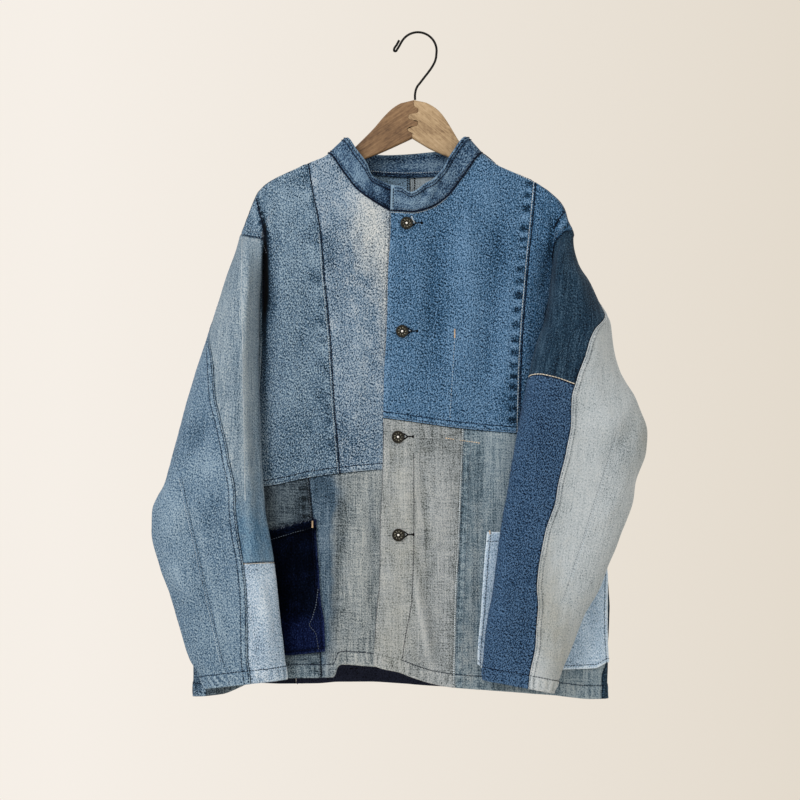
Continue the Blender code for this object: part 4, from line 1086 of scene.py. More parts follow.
frontCreases = table(
    creaseColumns,
    (-192, -205, -193, -262, 1, 4, 2.2),
    (-196, -262, -182, -372, -4, 8, -3),
    (-170, -350, -160, -500, 5, 8, 1.5),
    (-140, -300, -147, -440, -4, 9, -1.2),
    (-88, -186, -58, -268, 5, 8, 1.4),
    (-76, -330, -84, -520, 6, 10, 1.5),
    (-60, -350, -62, -500, -5, 9, -1.7),
    (24, -232, 27, -470, -7, 11, -2.3),
    (101, -214, 78, -470, 8, 11, -2.4),
    (58, -236, 62, -440, 5, 11, 1.9),
    (3, -262, -8, -470, 3, 8, 1.5),
    (168, -262, 158, -345, 3, 7, -3),
    (120, -300, 112, -480, -4, 8, 1.5),
    (188, -222, 171, -254, -2, 3.5, -3.2),
    (196, -232, 178, -258, -2, 3.5, 2.4),
    (70, -186, 96, -236, 4, 6, 1.6),
    (-84, -578, -103, -782, -7, 8, -4.2),
    (-114, -590, -119, -800, 4, 9, 3.6),
    (-72, -590, -78, -790, 5, 12, 2.6),
    (-54, -600, -54, -790, -2, 6, -2),
    (-18, -500, -17, -636, 2, 8, 2.4),
    (-2, -510, -1, -606, 1, 4, 2.3),
    (2, -560, 16, -736, 3, 7, -3),
    (-4, -680, 28, -832, -5, 6, 3.4),
    (-30, -660, -38, -800, 3, 9, 1.8),
    (34, -530, 28, -786, 4, 11, 2.2),
    (90, -516, 74, -790, -5, 10, -2.2),
    (-160, -590, -186, -636, 3, 7, 1.4),
    (200, -690, 214, -830, 3, 8, 1.8))
backCreases = table(
    creaseColumns,
    (-192, -215, -180, -330, 3, 7, 2.4),
    (-150, -250, -128, -420, -6, 9, -2.2),
    (-104, -230, -112, -440, 5, 10, 2),
    (-64, -300, -52, -520, -6, 11, -2),
    (-18, -240, -26, -430, 5, 9, 1.8),
    (44, -260, 52, -470, -5, 11, 2.1),
    (92, -230, 78, -410, 6, 8, -2.3),
    (140, -232, 132, -390, 4, 8, 2.3),
    (170, -250, 156, -360, -3, 6, -2.6),
    (-170, -470, -190, -600, 4, 8, 1.8),
    (-120, -620, -132, -800, -5, 9, 2.8),
    (-74, -610, -66, -820, 5, 10, -3),
    (-16, -590, -26, -800, 6, 12, 2.6),
    (40, -560, 54, -780, -5, 10, -2.8),
    (96, -600, 84, -820, 4, 9, 2.9),
    (148, -560, 166, -780, 5, 11, -2.4),
    (196, -620, 206, -820, -3, 8, 2.2),
    (-210, -620, -228, -810, 4, 9, -2.4))
sleeveCreases = table(
    creaseColumns,
    (-258, -376, -237, -412, 3, 4, 1.9),
    (-232, -404, -250, -452, -3, 4, 2),
    (-258, -448, -232, -488, 3, 5, -2),
    (-226, -466, -243, -514, -3, 5, 2.1),
    (-214, -486, -205, -560, 3, 4, -1.5),
    (-240, -520, -234, -610, 3, 6, 1.3),
    (-272, -506, -308, -560, -4, 9, -2.4),
    (-286, -596, -318, -650, -5, 9, 2.4),
    (-243, -622, -272, -676, 4, 8, -1.6),
    (-316, -676, -286, -730, 4, 8, 2),
    (-300, -560, -330, -606, 3, 7, 1.7),
    (-205, -696, -188, -780, 4, 5, 2),
    (-214, -724, -200, -806, 3, 5, -1.4),
    (-262, -690, -250, -810, 4, 5, 1.3),
    (178, -262, 182, -346, 3, 5, 1.6),
    (166, -292, 160, -380, 3, 6, -1.6),
    (200, -286, 214, -356, -3, 6, 1.6),
    (284, -500, 236, -566, -5, 9, -2.6),
    (276, -452, 240, -520, 5, 9, 2.4),
    (266, -560, 226, -640, 4, 9, 2),
    (226, -420, 244, -480, 4, 8, -1.8),
    (174, -704, 164, -826, 3, 4, 1.7),
    (192, -722, 178, -824, -3, 4, 1.6),
    (140, -532, 122, -680, 5, 8, -1.7),
    (150, -470, 134, -590, -4, 7, 1.5),
    (112, -640, 100, -780, 3, 7, 1.3))
sleeveBackCreases = table(
    creaseColumns,
    (-226, -330, -250, -420, 4, 7, 2.2),
    (-262, -430, -236, -500, -4, 7, -2),
    (-300, -520, -262, -600, 5, 9, 2.6),
    (-250, -560, -300, -640, 4, 8, -2.2),
    (-290, -660, -258, -760, 4, 8, 2),
    (204, -320, 226, -400, 4, 7, 2),
    (230, -420, 206, -500, -4, 8, -2.2),
    (262, -500, 220, -580, 5, 9, 2.6),
    (214, -600, 170, -700, 4, 8, -2),
    (180, -660, 150, -780, 4, 7, 1.8))

backApart = 900         # the unevenness of the back is read this far from that of the front
bodyUneven = dict(broad=1.2, fine=0.5, seed=31)
sleeveUneven = dict(broad=1.1, fine=0.5, seed=57)


def unevenOf(feel, x, z):
    # broad hills longer than they are wide, and finer ones that run aslant
    return (feel["broad"] * uneven(x, z * 0.55, 46, feel["seed"])
            + feel["fine"] * uneven(x + 0.3 * z, z, 18, feel["seed"] + 1))


def bodyCloth(turn, z, lift=0.0):
    # a place on the body's outer surface with all its folds, and the way out of the cloth
    turn, z = np.broadcast_arrays(np.asarray(turn, float), np.asarray(z, float))
    points = clothLift(turn, z, 0 * z)
    outward = clothLift(turn, z, 0 * z + 1.0) - points
    x = points[..., 0]
    front = np.cos(np.radians(turn)) > 0
    relief = np.where(front, creasePush(frontCreases, x, z), creasePush(backCreases, x, z))
    relief = relief + unevenOf(bodyUneven, x + backApart * ~front, z)
    relief = relief * ramp(shoulderRidge(x) - z, 3, 32)
    return points + outward * (relief + lift)[..., None], outward, relief


def frontCloth(x, z, lift=0.0):
    x, z = np.asarray(x, float), np.asarray(z, float)
    return bodyCloth(onFront(x, z), z, lift)[:2]


def flatBody(turn, z):
    # the cloth laid flat, with its warp hanging straight down
    across = np.sin(np.radians(turn))
    left, right = bodyRings["left"](z), bodyRings["right"](z)
    x = (left + right) / 2 + across * (right - left) / 2
    bent = 1 - (1 - np.abs(across) ** bodySquareness + 1e-9) ** (1 / bodySquareness)
    front = np.cos(np.radians(turn)) > 0
    depth = np.where(front, bodyRings["front"](z), bodyRings["back"](z))
    u = x + np.sign(across) * bent * depth
    return np.where(front, u, 1400 - u), z + 0 * u


def flatSleeve(side, around, z):
    ring = {name: curve(z) for name, curve in sleeveRings[side].items()}
    half = np.abs(ring["outer"] - ring["inner"]) / 2

    def run(angle, depth):
        turned = np.radians(np.abs(angle))
        deep = np.where(turned < np.pi / 2, np.sin(turned), 2 - np.sin(turned))
        return np.sign(angle) * (half * (1 - np.cos(turned)) + depth * deep)

    fully = 2 * half + 2 * ring["front"]
    beyond = fully + 2 * half + 2 * ring["back"] - run(360 - around, ring["back"])
    return np.where(around <= 180, run(around, ring["front"]), beyond), 1.03 * z + 0 * around


def sleeveCloth(side, around, z):
    around, z = np.broadcast_arrays(np.asarray(around, float), np.asarray(z, float))
    points = sleevePoint(side, around, z)
    step = 0.6
    along = sleevePoint(side, around + step, z) - sleevePoint(side, around - step, z)
    below = sleevePoint(side, around, z - 1.0) - points
    outward = np.cross(below, along) if side == "left" else np.cross(along, below)
    outward = unitOf(outward)
    forward = np.sin(np.radians(around))
    front = forward > 0
    x = points[..., 0]
    relief = np.where(front, creasePush(sleeveCreases, x, z), 0.8 * creasePush(sleeveBackCreases, x, z))
    relief = relief + np.where(front, 1.0, 0.6) * unevenOf(sleeveUneven, x + backApart * ~front, z)
    relief = relief * ramp(armholes[side](around) - z, 2, 30) * ramp(forward, -1.0, -0.5)
    return points + outward * relief[..., None], outward, relief


def beside(line, shift=0.0):
    return lambda z: onFront(line(z) + shift, z)


def behind(line):
    return lambda z: onBack(line(z), z)


def buildBodyPiece(name, look, lines, seams, step=3.0, reach=1, lift=0.0):
    # lines and seams are those at its left, right, top and bottom; a rough sheet gives its size
    turn, z = bodySheet(*lines, shares(12), shares(12), reach)
    across, down = runsOf(bodyCloth(turn, z)[0])
    left, right, top, bottom = seams
    columns = fineShares(across[6, -1], step, left, right)
    rows = fineShares(down[-1, 6], step, top, bottom)
    turn, z = bodySheet(*lines, columns, rows, reach)
    x = bodyPoint(turn, z)[..., 0]
    points, outward, relief = bodyCloth(turn, z, lift(x) if callable(lift) else lift + 0 * x)
    edges = dict(left=left, right=right, top=top, bottom=bottom)
    layCloth(name, points, look, edges, flatBody(turn, z), relief, x=x, z=z)


# the dyes, each from dark through its middle to bleached

dyes = {
    "indigo": dict(dark=(0.0045, 0.013, 0.028), mid=(0.0105, 0.035, 0.069), light=(0.070, 0.128, 0.195)),
    "washed": dict(dark=(0.022, 0.058, 0.108), mid=(0.097, 0.173, 0.272), light=(0.32, 0.43, 0.53)),
    "worn": dict(dark=(0.026, 0.066, 0.125), mid=(0.122, 0.202, 0.305), light=(0.36, 0.45, 0.545)),
    "pale": dict(dark=(0.046, 0.088, 0.138), mid=(0.185, 0.260, 0.335), light=(0.44, 0.51, 0.56)),
    "bright": dict(dark=(0.009, 0.040, 0.092), mid=(0.050, 0.132, 0.255), light=(0.185, 0.322, 0.51)),
    "deep": dict(dark=(0.005, 0.017, 0.046), mid=(0.0140, 0.048, 0.118), light=(0.088, 0.172, 0.310)),
    "grey": dict(dark=(0.095, 0.125, 0.145), mid=(0.235, 0.275, 0.300), light=(0.44, 0.475, 0.485)),
    "linen": dict(dark=(0.140, 0.165, 0.175), mid=(0.270, 0.306, 0.335), light=(0.45, 0.485, 0.51)),
    "slate": dict(dark=(0.022, 0.046, 0.078), mid=(0.064, 0.112, 0.172), light=(0.21, 0.285, 0.36)),
    "ash": dict(dark=(0.040, 0.068, 0.095), mid=(0.114, 0.176, 0.232), light=(0.31, 0.385, 0.44)),
    "lead": dict(dark=(0.012, 0.020, 0.028), mid=(0.042, 0.063, 0.088), light=(0.125, 0.167, 0.20)),
    "ecru": dict(dark=(0.26, 0.31, 0.345), mid=(0.425, 0.485, 0.535), light=(0.58, 0.63, 0.67)),
    "bone": dict(dark=(0.25, 0.27, 0.25), mid=(0.33, 0.355, 0.355), light=(0.48, 0.50, 0.49)),
    "ivory": dict(dark=(0.25, 0.30, 0.34), mid=(0.415, 0.465, 0.50), light=(0.62, 0.65, 0.66)),
    "night": dict(dark=(0.0001, 0.0004, 0.0016), mid=(0.0007, 0.0018, 0.006), light=(0.004, 0.008, 0.022)),
    "ink": dict(dark=(0.0008, 0.0018, 0.010), mid=(0.0028, 0.0060, 0.030), light=(0.018, 0.032, 0.11)),
    "ice": dict(dark=(0.19, 0.30, 0.44), mid=(0.39, 0.54, 0.73), light=(0.66, 0.79, 0.92)),
    "sky": dict(dark=(0.15, 0.23, 0.33), mid=(0.320, 0.440, 0.590), light=(0.62, 0.71, 0.80))}
crosshatch = dict(speck=1.1, grain=(1.4, 2.0), streak=0.50, weft=0.34, slub=0.18, creaseWearAndShade=0.045)

# the fronts; a spot is its x and z, half width, half height, slant and strength, and spots give fades in
# the cloth as well as painted light and shade of folds, creases and crevices

frontLooks = {
    "right_front_upper_side": dict(
        dyes["washed"], seed=11, cloud=0.10, blotch=0.12, level=0.495,
        # the first spots are light and dark patches along the chest seam; near the shoulder the top is
        # painted lighter where light falls on it, and along the armhole come the painted shadow of the
        # crevice by the sleeve and the painted shade and highlights of the shoulder fold
        spots=((-136, -262, 9, 9, 0, -0.30), (-133, -311, 8, 9, 0, -0.30), (-127, -366, 8, 9, 0, -0.30),
               (-123, -390, 6, 7, 0, -0.24), (-123, -424, 7, 8, 0, -0.26), (-121, -463, 7, 10, 0, -0.15),
               (-133, -278, 7, 10, 0, 0.26), (-130, -294, 6, 7, 0, 0.18), (-124, -379, 5, 6, 0, 0.24),
               (-120, -404, 5, 6, 0, 0.24), (-142, -203, 8, 14, 0, 0.25), (-152, -190, 12, 9, 0, -0.14),
               (-176, -215, 22, 30, 0, 0.10), (-195.8, -310, 3.8, 62, 0, -2.4),
               (-187, -330, 8, 80, 0, -0.24),
               (-150, -520, 60, 46, 0, -0.09), (-150, -380, 46, 60, 0, 0.04),
               (-201, -231, 2.4, 23, -0.29, -1), (-206.5, -236, 2.4, 20, -0.29, 0.40),
               (-195, -231, 3, 25, -0.29, 0.25), (-196, -420, 4, 50, 0, -0.5))),
    "right_front_upper_centre": dict(
        dyes["worn"], seed=12, level=0.52, cloud=0.15, blotch=0.14, second=dyes["ivory"],
        seconds=((-60, -248, 24, 62, -0.05, 0.9), (-42, -330, 9, 80, 0, 0.6)),
        spots=((-80, -520, 60, 40, 0, -0.07), (-84, -400, 50, 56, 0, 0.07),
               (-60, -250, 26, 70, -0.05, 0.10), (-100, -205, 34, 45, 0, 0.13),
               (-54, -410, 11, 40, 0, -0.14), (-119, -265, 6, 11, 0, -0.22),
               (-112, -296, 6, 10, 0, -0.18), (-110, -330, 6, 9, 0, -0.14))),
    "right_front_lower_side": dict(
        dyes["lead"], **{**crosshatch, "weft": 0.6}, seed=13, level=0.49, second=dyes["ash"],
        seconds=((-190, -822, 95, 26, 0, 0.9),),
        spots=((-184, -606, 24, 26, 0, 0.16), (-146, -600, 12, 36, 0, -0.20))),
    "right_front_lower_centre": dict(
        dyes["grey"], **crosshatch, seed=14, level=0.48, second=dyes["slate"],
        seconds=((-123, -690, 16, 150, 0.01, 1.5), (-124, -588, 22, 24, 0, 1.2),
                 (-58, -640, 5, 90, 0, 0.25)),
        spots=((-121, -584, 11, 18, 0, -0.12), (-97, -640, 6, 60, 0.02, -0.08),
               (-108, -680, 3.5, 90, 0.03, 0.18), (-74, -640, 12, 70, 0, 0.06))),
    "left_front_upper_centre": dict(
        dyes["bright"], seed=21, cloud=0.06, creaseWearAndShade=0.05,
        # dark bands down this piece are painted shade of its soft folds, with lighter bands between them
        spots=((28, -342, 11, 100, 0, -0.09), (101, -285, 12, 70, 0.1, -0.10), (-36, -250, 6, 16, 0, -0.16),
               (118, -474, 14, 34, 0, -0.22), (3, -292, 12, 55, 0, 0.07), (60, -268, 14, 44, 0, 0.07))),
    "left_front_upper_side": dict(
        {**dyes["bright"], "mid": (0.046, 0.134, 0.272)}, seed=22, level=0.41, cloud=0.1,
        # painted shade and highlights of the pinched fold at the shoulder, and painted shadow under its
        # strip
        spots=((181.5, -238, 3.0, 14, 0.63, -0.5), (187.5, -240, 3.0, 13, 0.63, 0.3),
               (174, -240, 3, 14, 0.63, 0.25), (191, -247, 1.5, 8, 0.9, -0.5),
               (170, -270, 4, 22, 0, -0.4))),
    "left_front_lower_centre": dict(
        dyes["linen"], **crosshatch, seed=23, level=0.50, second=dyes["bone"],
        seconds=((-20, -640, 30, 130, 0, 0.62), (-40, -790, 30, 60, 0, 0.5)),
        # after the first spot come the painted highlights of two crease ridges and the painted shade beside
        # them
        spots=((-17, -572, 9, 66, 0, 0.08), (2, -628, 3.4, 58, -0.069, 0.30),
               (10, -620, 5, 56, -0.069, -0.12),
               (-7, -610, 2.6, 70, 0, -0.18), (4, -757, 3.4, 52, -0.168, 0.34),
               (-2.5, -742, 3.6, 34, -0.2, -0.34), (12, -735, 5, 50, -0.15, -0.14),
               (48, -640, 6, 110, 0.02, -0.12), (10, -524, 60, 26, 0, -0.2))),
    "left_front_lower_side": dict(
        dyes["ash"], **{**crosshatch, "slub": 0.42}, seed=24, level=0.68, second=dyes["grey"],
        seconds=((74, -700, 7, 110, 0.05, 0.3), (60, -800, 12, 40, 0, 0.3)),
        spots=((76, -560, 8, 80, 0.05, -0.16), (62, -560, 4, 70, 0.05, -0.2), (100, -820, 60, 26, 0, -0.2),
               (92, -680, 22, 66, 0, 0.15), (66, -700, 5, 100, 0.05, 0.14), (92, -640, 6, 70, 0, -0.10)))}


def roped(strength, step, wide=11.0, **changes):
    return "roped", dict(rope=strength, ropeStep=step, ropeWidth=wide, **changes)


def buildFronts():
    rightSide, leftSide, lap = sideEdge("right", "front"), sideEdge("left", "front"), beside(lapEdge)
    chestRight, chestLeft = beside(chestSeamRight), beside(chestSeamLeft)
    skirtRight, skirtLeft, under = beside(skirtSeamRight), beside(skirtSeamLeft), beside(lapEdge, overlap)
    cuts = {
        "right_front_upper_side": ((rightSide, chestRight, shoulderRidge, waistRight),
                                   ("sewn", roped(0.12, 31.0, 9.0), "sewn", "felled")),
        "right_front_upper_centre": ((chestRight, under, neckRight, waistRight),
                                     (("under", dict(lines=(2.0,), gloom=0.3)), "free", "sewn", "felled")),
        "right_front_lower_side": ((rightSide, skirtRight, waistRight, hemRight),
                                   ("sewn", roped(0.16, 13.0), "under", "hem")),
        "right_front_lower_centre": ((skirtRight, under, waistRight, hemRight),
                                     ("under", "free", "under", "hem")),
        "left_front_upper_centre": ((lap, chestLeft, neckLeft, waistLeft),
                                    ("lap", roped(0.33, 16.0, 12.0), "sewn", "felled")),
        "left_front_upper_side": ((chestLeft, leftSide, shoulderRidge, waistLeft),
                                  (("under", dict(lines=(2.2,), gloom=0.3)), "sewn", "sewn", "felled")),
        "left_front_lower_centre": ((lap, skirtLeft, waistLeft, hemLeft),
                                    ("lap", roped(0.05, 14.0, gloom=0.1), "under", "hem")),
        "left_front_lower_side": ((skirtLeft, leftSide, waistLeft, hemLeft),
                                  (roped(0.10, 14.0, 9.0, gloom=0.1), "sewn", "under", "hem"))}
    for name, (lines, seams) in cuts.items():
        lift = lapLift if name.startswith("left") else 0.0
        buildBodyPiece(name, frontLooks[name], lines, seams, lift=lift)
    print("fronts are laid")


buildFronts()

# the back

backLooks = {
    "back_upper_left": dict(dyes["ash"], **crosshatch, seed=31, level=0.6, reverse=(0.315, 0.375, 0.42)),
    "back_upper_right": dict(dyes["washed"], seed=32, level=0.5, reverse=(0.175, 0.28, 0.40)),
    "back_lower_left": dict(dyes["indigo"], seed=33, level=0.40, reverse=(0.10, 0.13, 0.18)),
    "back_lower_middle": dict(dyes["night"], seed=34, level=0.6, streak=0.5, reverse=(0.016, 0.020, 0.040)),
    "back_lower_right": dict(dyes["washed"], seed=35, level=0.45, spots=((-288, -836, 14, 34, 0, -0.30),),
                             reverse=(0.012, 0.016, 0.030))}
backStep = 4.2


def buildBack():
    rightSide, leftSide = sideEdge("right", "back"), sideEdge("left", "back")
    centre, rightSeam, leftSeam = behind(backSeamTop), behind(backSeamRight), behind(backSeamLeft)
    top = lambda x: np.where((x > -112.6) & (x < 80.6), neckBack(x), shoulderRidge(x))
    cuts = {
        "back_upper_left": ((leftSide, centre, top, waistBack), ("sewn", "felled", "sewn", "felled")),
        "back_upper_right": ((centre, rightSide, top, waistBack), ("under", "sewn", "sewn", "felled")),
        "back_lower_left": ((leftSide, leftSeam, waistBack, hemBack), ("sewn", "under", "under", "hem")),
        "back_lower_middle": ((leftSeam, rightSeam, waistBack, hemBack),
                              ("felled", "felled", "under", "hem")),
        "back_lower_right": ((rightSeam, rightSide, waistBack, hemBack), ("under", "sewn", "under", "hem"))}
    for name, (lines, seams) in cuts.items():
        buildBodyPiece(name, backLooks[name], lines, seams, backStep, 3 if "upper" in name else 1)
    print("back is laid")


buildBack()

# pockets

pocketCuts = {
    "right_pocket": dict(
        inner=seam((-620, -129), (-637.4, -129.3), (-681, -126.7), (-725.8, -124.2),
                   (-755, -119.7), (-800, -118.7)),
        outer=seam((-620, -246), (-800, -257)),
        top=level((-280, -642), (-188, -636), (-147, -626), (-131, -622)),
        bottom=level((-280, -797), (-169, -795.4), (-119, -790.4)),
        edge=dict(lift=0.3, worn=0.25),
        look=dict(dyes["night"], seed=41, level=0.36, speck=0.9, sheen=0.0, gloss=0.02, worn=0.5,
                  second=dyes["ink"], seconds=((-150, -772, 80, 26, 0, 1.0), (-124, -680, 7, 70, 0, 0.75)),
                  spots=((-150, -775, 60, 16, 0, 0.10),))),
    "left_pocket": dict(
        inner=seam((-630, 88.5), (-680, 84), (-740, 80), (-800, 75.5), (-830, 75.5)),
        outer=seam((-630, 229.5), (-700, 241), (-830, 241)),
        top=level((75, -638), (240, -640)),
        bottom=level((75, -806), (84, -813), (160, -814), (225, -813), (239, -806)),
        edge=dict(edgeWearAndHighlight=2.0, worn=0.9),
        look=dict(dyes["ice"], seed=42, level=0.52, speck=1.2))}


pocketStep = 3.4


def buildPockets():
    for name, cut in pocketCuts.items():
        sides = (beside(cut["inner"]), beside(cut["outer"]))
        left, right = sides if name == "left_pocket" else sides[::-1]
        fold = ("fold", cut["edge"])
        top = ("fold", dict(width=13.0, lines=(12.0,), **cut["edge"]))
        buildBodyPiece(name, cut["look"], (left, right, cut["top"], cut["bottom"]), (fold, fold, top, fold),
                       pocketStep, lift=pocketLift)
    print("pockets are laid")


buildPockets()

# sleeves

sleeveLooks = {
    "right_sleeve_front_upper": dict(
        dyes["pale"], seed=51, speck=1.0, streak=0.42, cloud=0.03, blotch=0.04, level=0.555, creaseWearAndShade=0.03,
        second=dict(dark=(0.016, 0.048, 0.092), mid=(0.055, 0.128, 0.222), light=(0.19, 0.32, 0.45)),
        seconds=((-212, -650, 60, 66, 0, 0.95),),
        # a painted highlight down the pressed crease with painted shade beside it, the painted shadow of
        # the crevice by the body, and painted shade along the sleeve's inner edge
        spots=((-220, -460, 4.0, 170, -0.018, 0.20), (-197.6, -326, 2.6, 56, 0, -2.0),
               (-238, -300, 26, 46, 0, -0.06), (-230, -470, 5, 150, -0.018, -0.14),
               (-216, -660, 5, 40, 0, 0.22), (-203, -480, 4, 130, 0, -0.22))),
    "right_sleeve_front_lower": dict(
        dyes["sky"], seed=52, speck=1.4, spots=((-200, -740, 5, 46, 0.25, 0.16),)),
    "right_sleeve_outer": dict(
        dyes["washed"], seed=53, level=0.575, cloud=0.07, blotch=0.06, creaseWearAndShade=0.04, streak=0.32, speck=1.4,
        spots=((-280, -508, 18, 22, 0, -0.14), (-262, -604, 14, 18, 0, -0.13),
               (-262, -556, 12, 15, 0, 0.12),
               (-306, -620, 16, 32, 0, 0.10), (-246, -760, 20, 50, 0, 0.10),
               (-276, -686.7, 5, 120, -0.226, -0.12), (-268, -686.7, 4, 115, -0.226, 0.10))),
    "left_sleeve_front_upper": dict(
        dyes["indigo"], seed=54, level=0.44, speck=1.2, streak=0.55, slub=0.22,
        spots=((180, -300, 8, 30, 0, -0.15), (156, -390, 5, 46, -0.15, 0.16))),
    "left_sleeve_front_lower": dict(dyes["deep"], seed=55, level=0.56, cloud=0.09, speck=2.7),
    "left_sleeve_outer": dict(
        dyes["ecru"], seed=56, speck=0.9, streak=0.30, creaseWearAndShade=0.025, second=dyes["bone"],
        seconds=((168, -750, 26, 90, -0.2, 0.9), (290, -520, 14, 40, 0, 0.5)),
        spots=((236, -600, 11, 120, 0.325, -0.06),))}


felledStrips = {"right": dict(width=9.0, lines=(1.6, 8.0)), "left": dict(width=6.8, lines=(1.6, 5.8))}
sleeveStep = 3.3


def buildSleeves():
    for side in ("right", "left"):
        felled, start, strip = felledSeam[side], armSeam[side], ("felled", felledStrips[side])
        inside, outside = (lambda z: start + 0 * z), (lambda z: start + 360 + 0 * z)
        armhole, join, end = armholes[side], sleeveJoin[side], cuff(side)
        cuts = {"front_upper": ((inside, felled, armhole, join), ("sewn", "under", "sewn", "under")),
                "front_lower": ((inside, felled, join, end), ("sewn", "under", "sewn", "hem")),
                "outer": ((felled, outside, armhole, end), (strip, "sewn", "sewn", "hem"))}
        for part, (lines, (low, high, top, bottom)) in cuts.items():
            name = side + "_sleeve_" + part
            across, down = runsOf(sleevePoint(side, *sleeveSheet(*lines, shares(16), shares(16))))
            columns = fineShares(np.median(across[:, -1]), sleeveStep, low, high)
            rows = fineShares(np.median(down[-1]), sleeveStep, top, bottom)
            around, z = sleeveSheet(*lines, columns, rows)
            points, outward, relief = sleeveCloth(side, around, z)
            u, v = flatSleeve(side, around, z)
            if side == "right":
                low, high = high, low
                points, relief, u, v = points[:, ::-1], relief[:, ::-1], -u[:, ::-1], v[:, ::-1]
            layCloth(name, points, sleeveLooks[name], dict(left=low, right=high, top=top, bottom=bottom),
                     (u, v), relief)
    print("sleeves are laid")


buildSleeves()

# collar band

collarLook = dict(dark=(0.010, 0.028, 0.068), mid=(0.049, 0.106, 0.197), light=(0.21, 0.32, 0.44),
                  seed=61, level=0.48, blotch=0.10, cloud=0.08, worn=0.3, grain=(1.7, 1.3), speck=1.4)
bandTall = 30.0         # the band's height and the length of a station, as its cloth is laid flat
stationLong = 22.0
collarCreases = table(
    "station share endStation endShare width depth",
    (0.9, 0.55, 2, 0.30, 0.16, 1.3),
    (1.2, 0.30, 1.9, 0.75, 0.14, -1.1),
    (1.9, 0.75, 2.7, 0.35, 0.16, 1.4),
    (2.2, 0.35, 3, 0.70, 0.14, -1.1),
    (2.9, 0.80, 3.7, 0.40, 0.18, 1.2),
    (12.6, 0.30, 13.6, 0.70, 0.2, 0.9),
    (14, 0.75, 14.9, 0.35, 0.18, 1),
    (7, 0.3, 8.2, 0.7, 0.25, 0.9))


def collarWrinkles(station, share):
    push = 0.35 * uneven(station * stationLong, share * bandTall, 13, 71)
    for startStation, startShare, endStation, endShare, width, depth in zip(*collarCreases.values()):
        run, rise = endStation - startStation, endShare - startShare
        offStation, offShare = station - startStation, share - startShare
        t = (offStation * run + offShare * rise) / (run ** 2 + rise ** 2)
        aside = (offStation * rise - offShare * run) / math.hypot(run, rise)
        fade = ramp(t, -0.15, 0.25) * (1 - ramp(t, 0.75, 1.15))
        push = push + depth * fade * np.exp(-(aside / width) ** 2)
    return push


def collarCloth(station, share, out=0.0):
    points = collarPoint(station, share)
    along = collarPoint(station + 0.02, share) - collarPoint(station - 0.02, share)
    up = collarPoint(station, share + 0.02) - collarPoint(station, share - 0.02)
    outward = unitOf(np.cross(along, up))
    return points + outward * (collarWrinkles(station, share) + out)[..., None], outward


collarFades = (          # spots, as for the fronts, in stations and shares of the height; the dark one at the end of the under-collar is painted shade
    (0.03, 0.5, 0.09, 9, 0, 1.2), (8, 1.02, 20, 0.05, 0, 0.35), (15.6, 0.4, 1.7, 0.9, 0, -0.42),
    (1.2, 0.5, 1.2, 0.7, 0, 0.16), (4, 0.5, 1, 1, 0, -0.12), (12.6, 0.6, 1.4, 1, 0, 0.14),
    (8, 0, 3.4, 0.3, 0, -0.2))


def buildCollar():
    # the inner face up to the rolled top edge, then the outer face down over the neck seam
    half = 15
    station = np.concatenate([[0, 0.03, 0.08], np.linspace(0.16, 15.84, 250), [15.92, 15.97, 16]])
    profile = np.concatenate([np.linspace(0, 1, half), np.linspace(1, 0, half)])
    station, share = np.meshgrid(station, profile)
    rolled = 1.45 * np.sqrt(np.clip(1 - np.abs(profile) ** 10, 0, 1)) + 0.15
    side = np.where(np.arange(2 * half) < half, -1, 1)[:, None]
    ridges = 0.45 * ramp(share, 0.80, 0.90) * (1 - ramp(share, 0.93, 1.0))
    points, outward = collarCloth(station, share, rolled[:, None] * side + side * ridges)
    fade = shadeAt(collarFades, station, share)
    fade = fade + 0.16 * uneven(station * stationLong, share * 34, 5.5, 73)
    # the wrinkles are painted lighter on their ridges and darker in their hollows, as painted shade
    fade = fade + 0.24 * collarWrinkles(station, share)
    # painted shade in the grooves of the stitching near the top and at the foot
    stitchGrooveShade = -0.2 * np.exp(-((share - 0.80) / 0.03) ** 2) - 0.3 * np.exp(-((share - 0.10) / 0.04) ** 2)
    edges = dict.fromkeys(("left", "right", "top", "bottom"), "free")
    piece = layCloth("collar_band", points, collarLook, edges,
                     (share * bandTall * side, station * stationLong), 0.0, wall=0.6)
    layer = piece.data.attributes["shade"]
    layer.data.foreach_set("value", np.ascontiguousarray(fade + stitchGrooveShade, dtype=np.float32).ravel())
    print("collar is set")


def collarLine(share, first, last, side=1):
    station = np.linspace(first, last, int(abs(last - first) * 12) + 2)
    line, outward = collarCloth(station, share + 0 * station, side * 1.75 + 0 * station)
    return line, outward * side


buildCollar()


# the lines of stitching, each laid on the cloth it holds

def drawn(places, lift=0.0, surface=frontCloth, gap=3.0):
    # a line through these places, x and z, on the front unless another surface is named
    places = np.array(places, float)
    run = runAlong(places)
    at = np.linspace(0, run[-1], max(int(run[-1] / gap), 2) + 1)
    x, z = readAlong(at, run, places).T
    return surface(x, z, (lift(x) if callable(lift) else lift) + 0 * x)


def insideBack(x, z, lift=0.0):
    points, outward = bodyCloth(onBack(x, z), z, -lift)[:2]
    return points, -outward


def onSleeve(side):
    def surface(x, z, lift=0.0):
        around = np.linspace(0, 180, 181)
        placed = []
        for oneX, oneZ in zip(x, z):
            reach = sleevePoint(side, around, oneZ + 0 * around)[:, 0]
            order = np.argsort(reach)
            placed.append(np.interp(oneX, reach[order], around[order]))
        points, outward = sleeveCloth(side, np.array(placed), z)[:2]
        return points + outward * np.asarray(lift)[..., None], outward
    return surface


turnedHem = 17.0        # stitching this far up from the hem and the cuffs
felledLines = (1.7, 7.6)
roping = dict(stitch=4.0, gap=-0.8)         # close stitches that bury one another's ends
closer = dict(stitch=4.0, gap=-0.5)


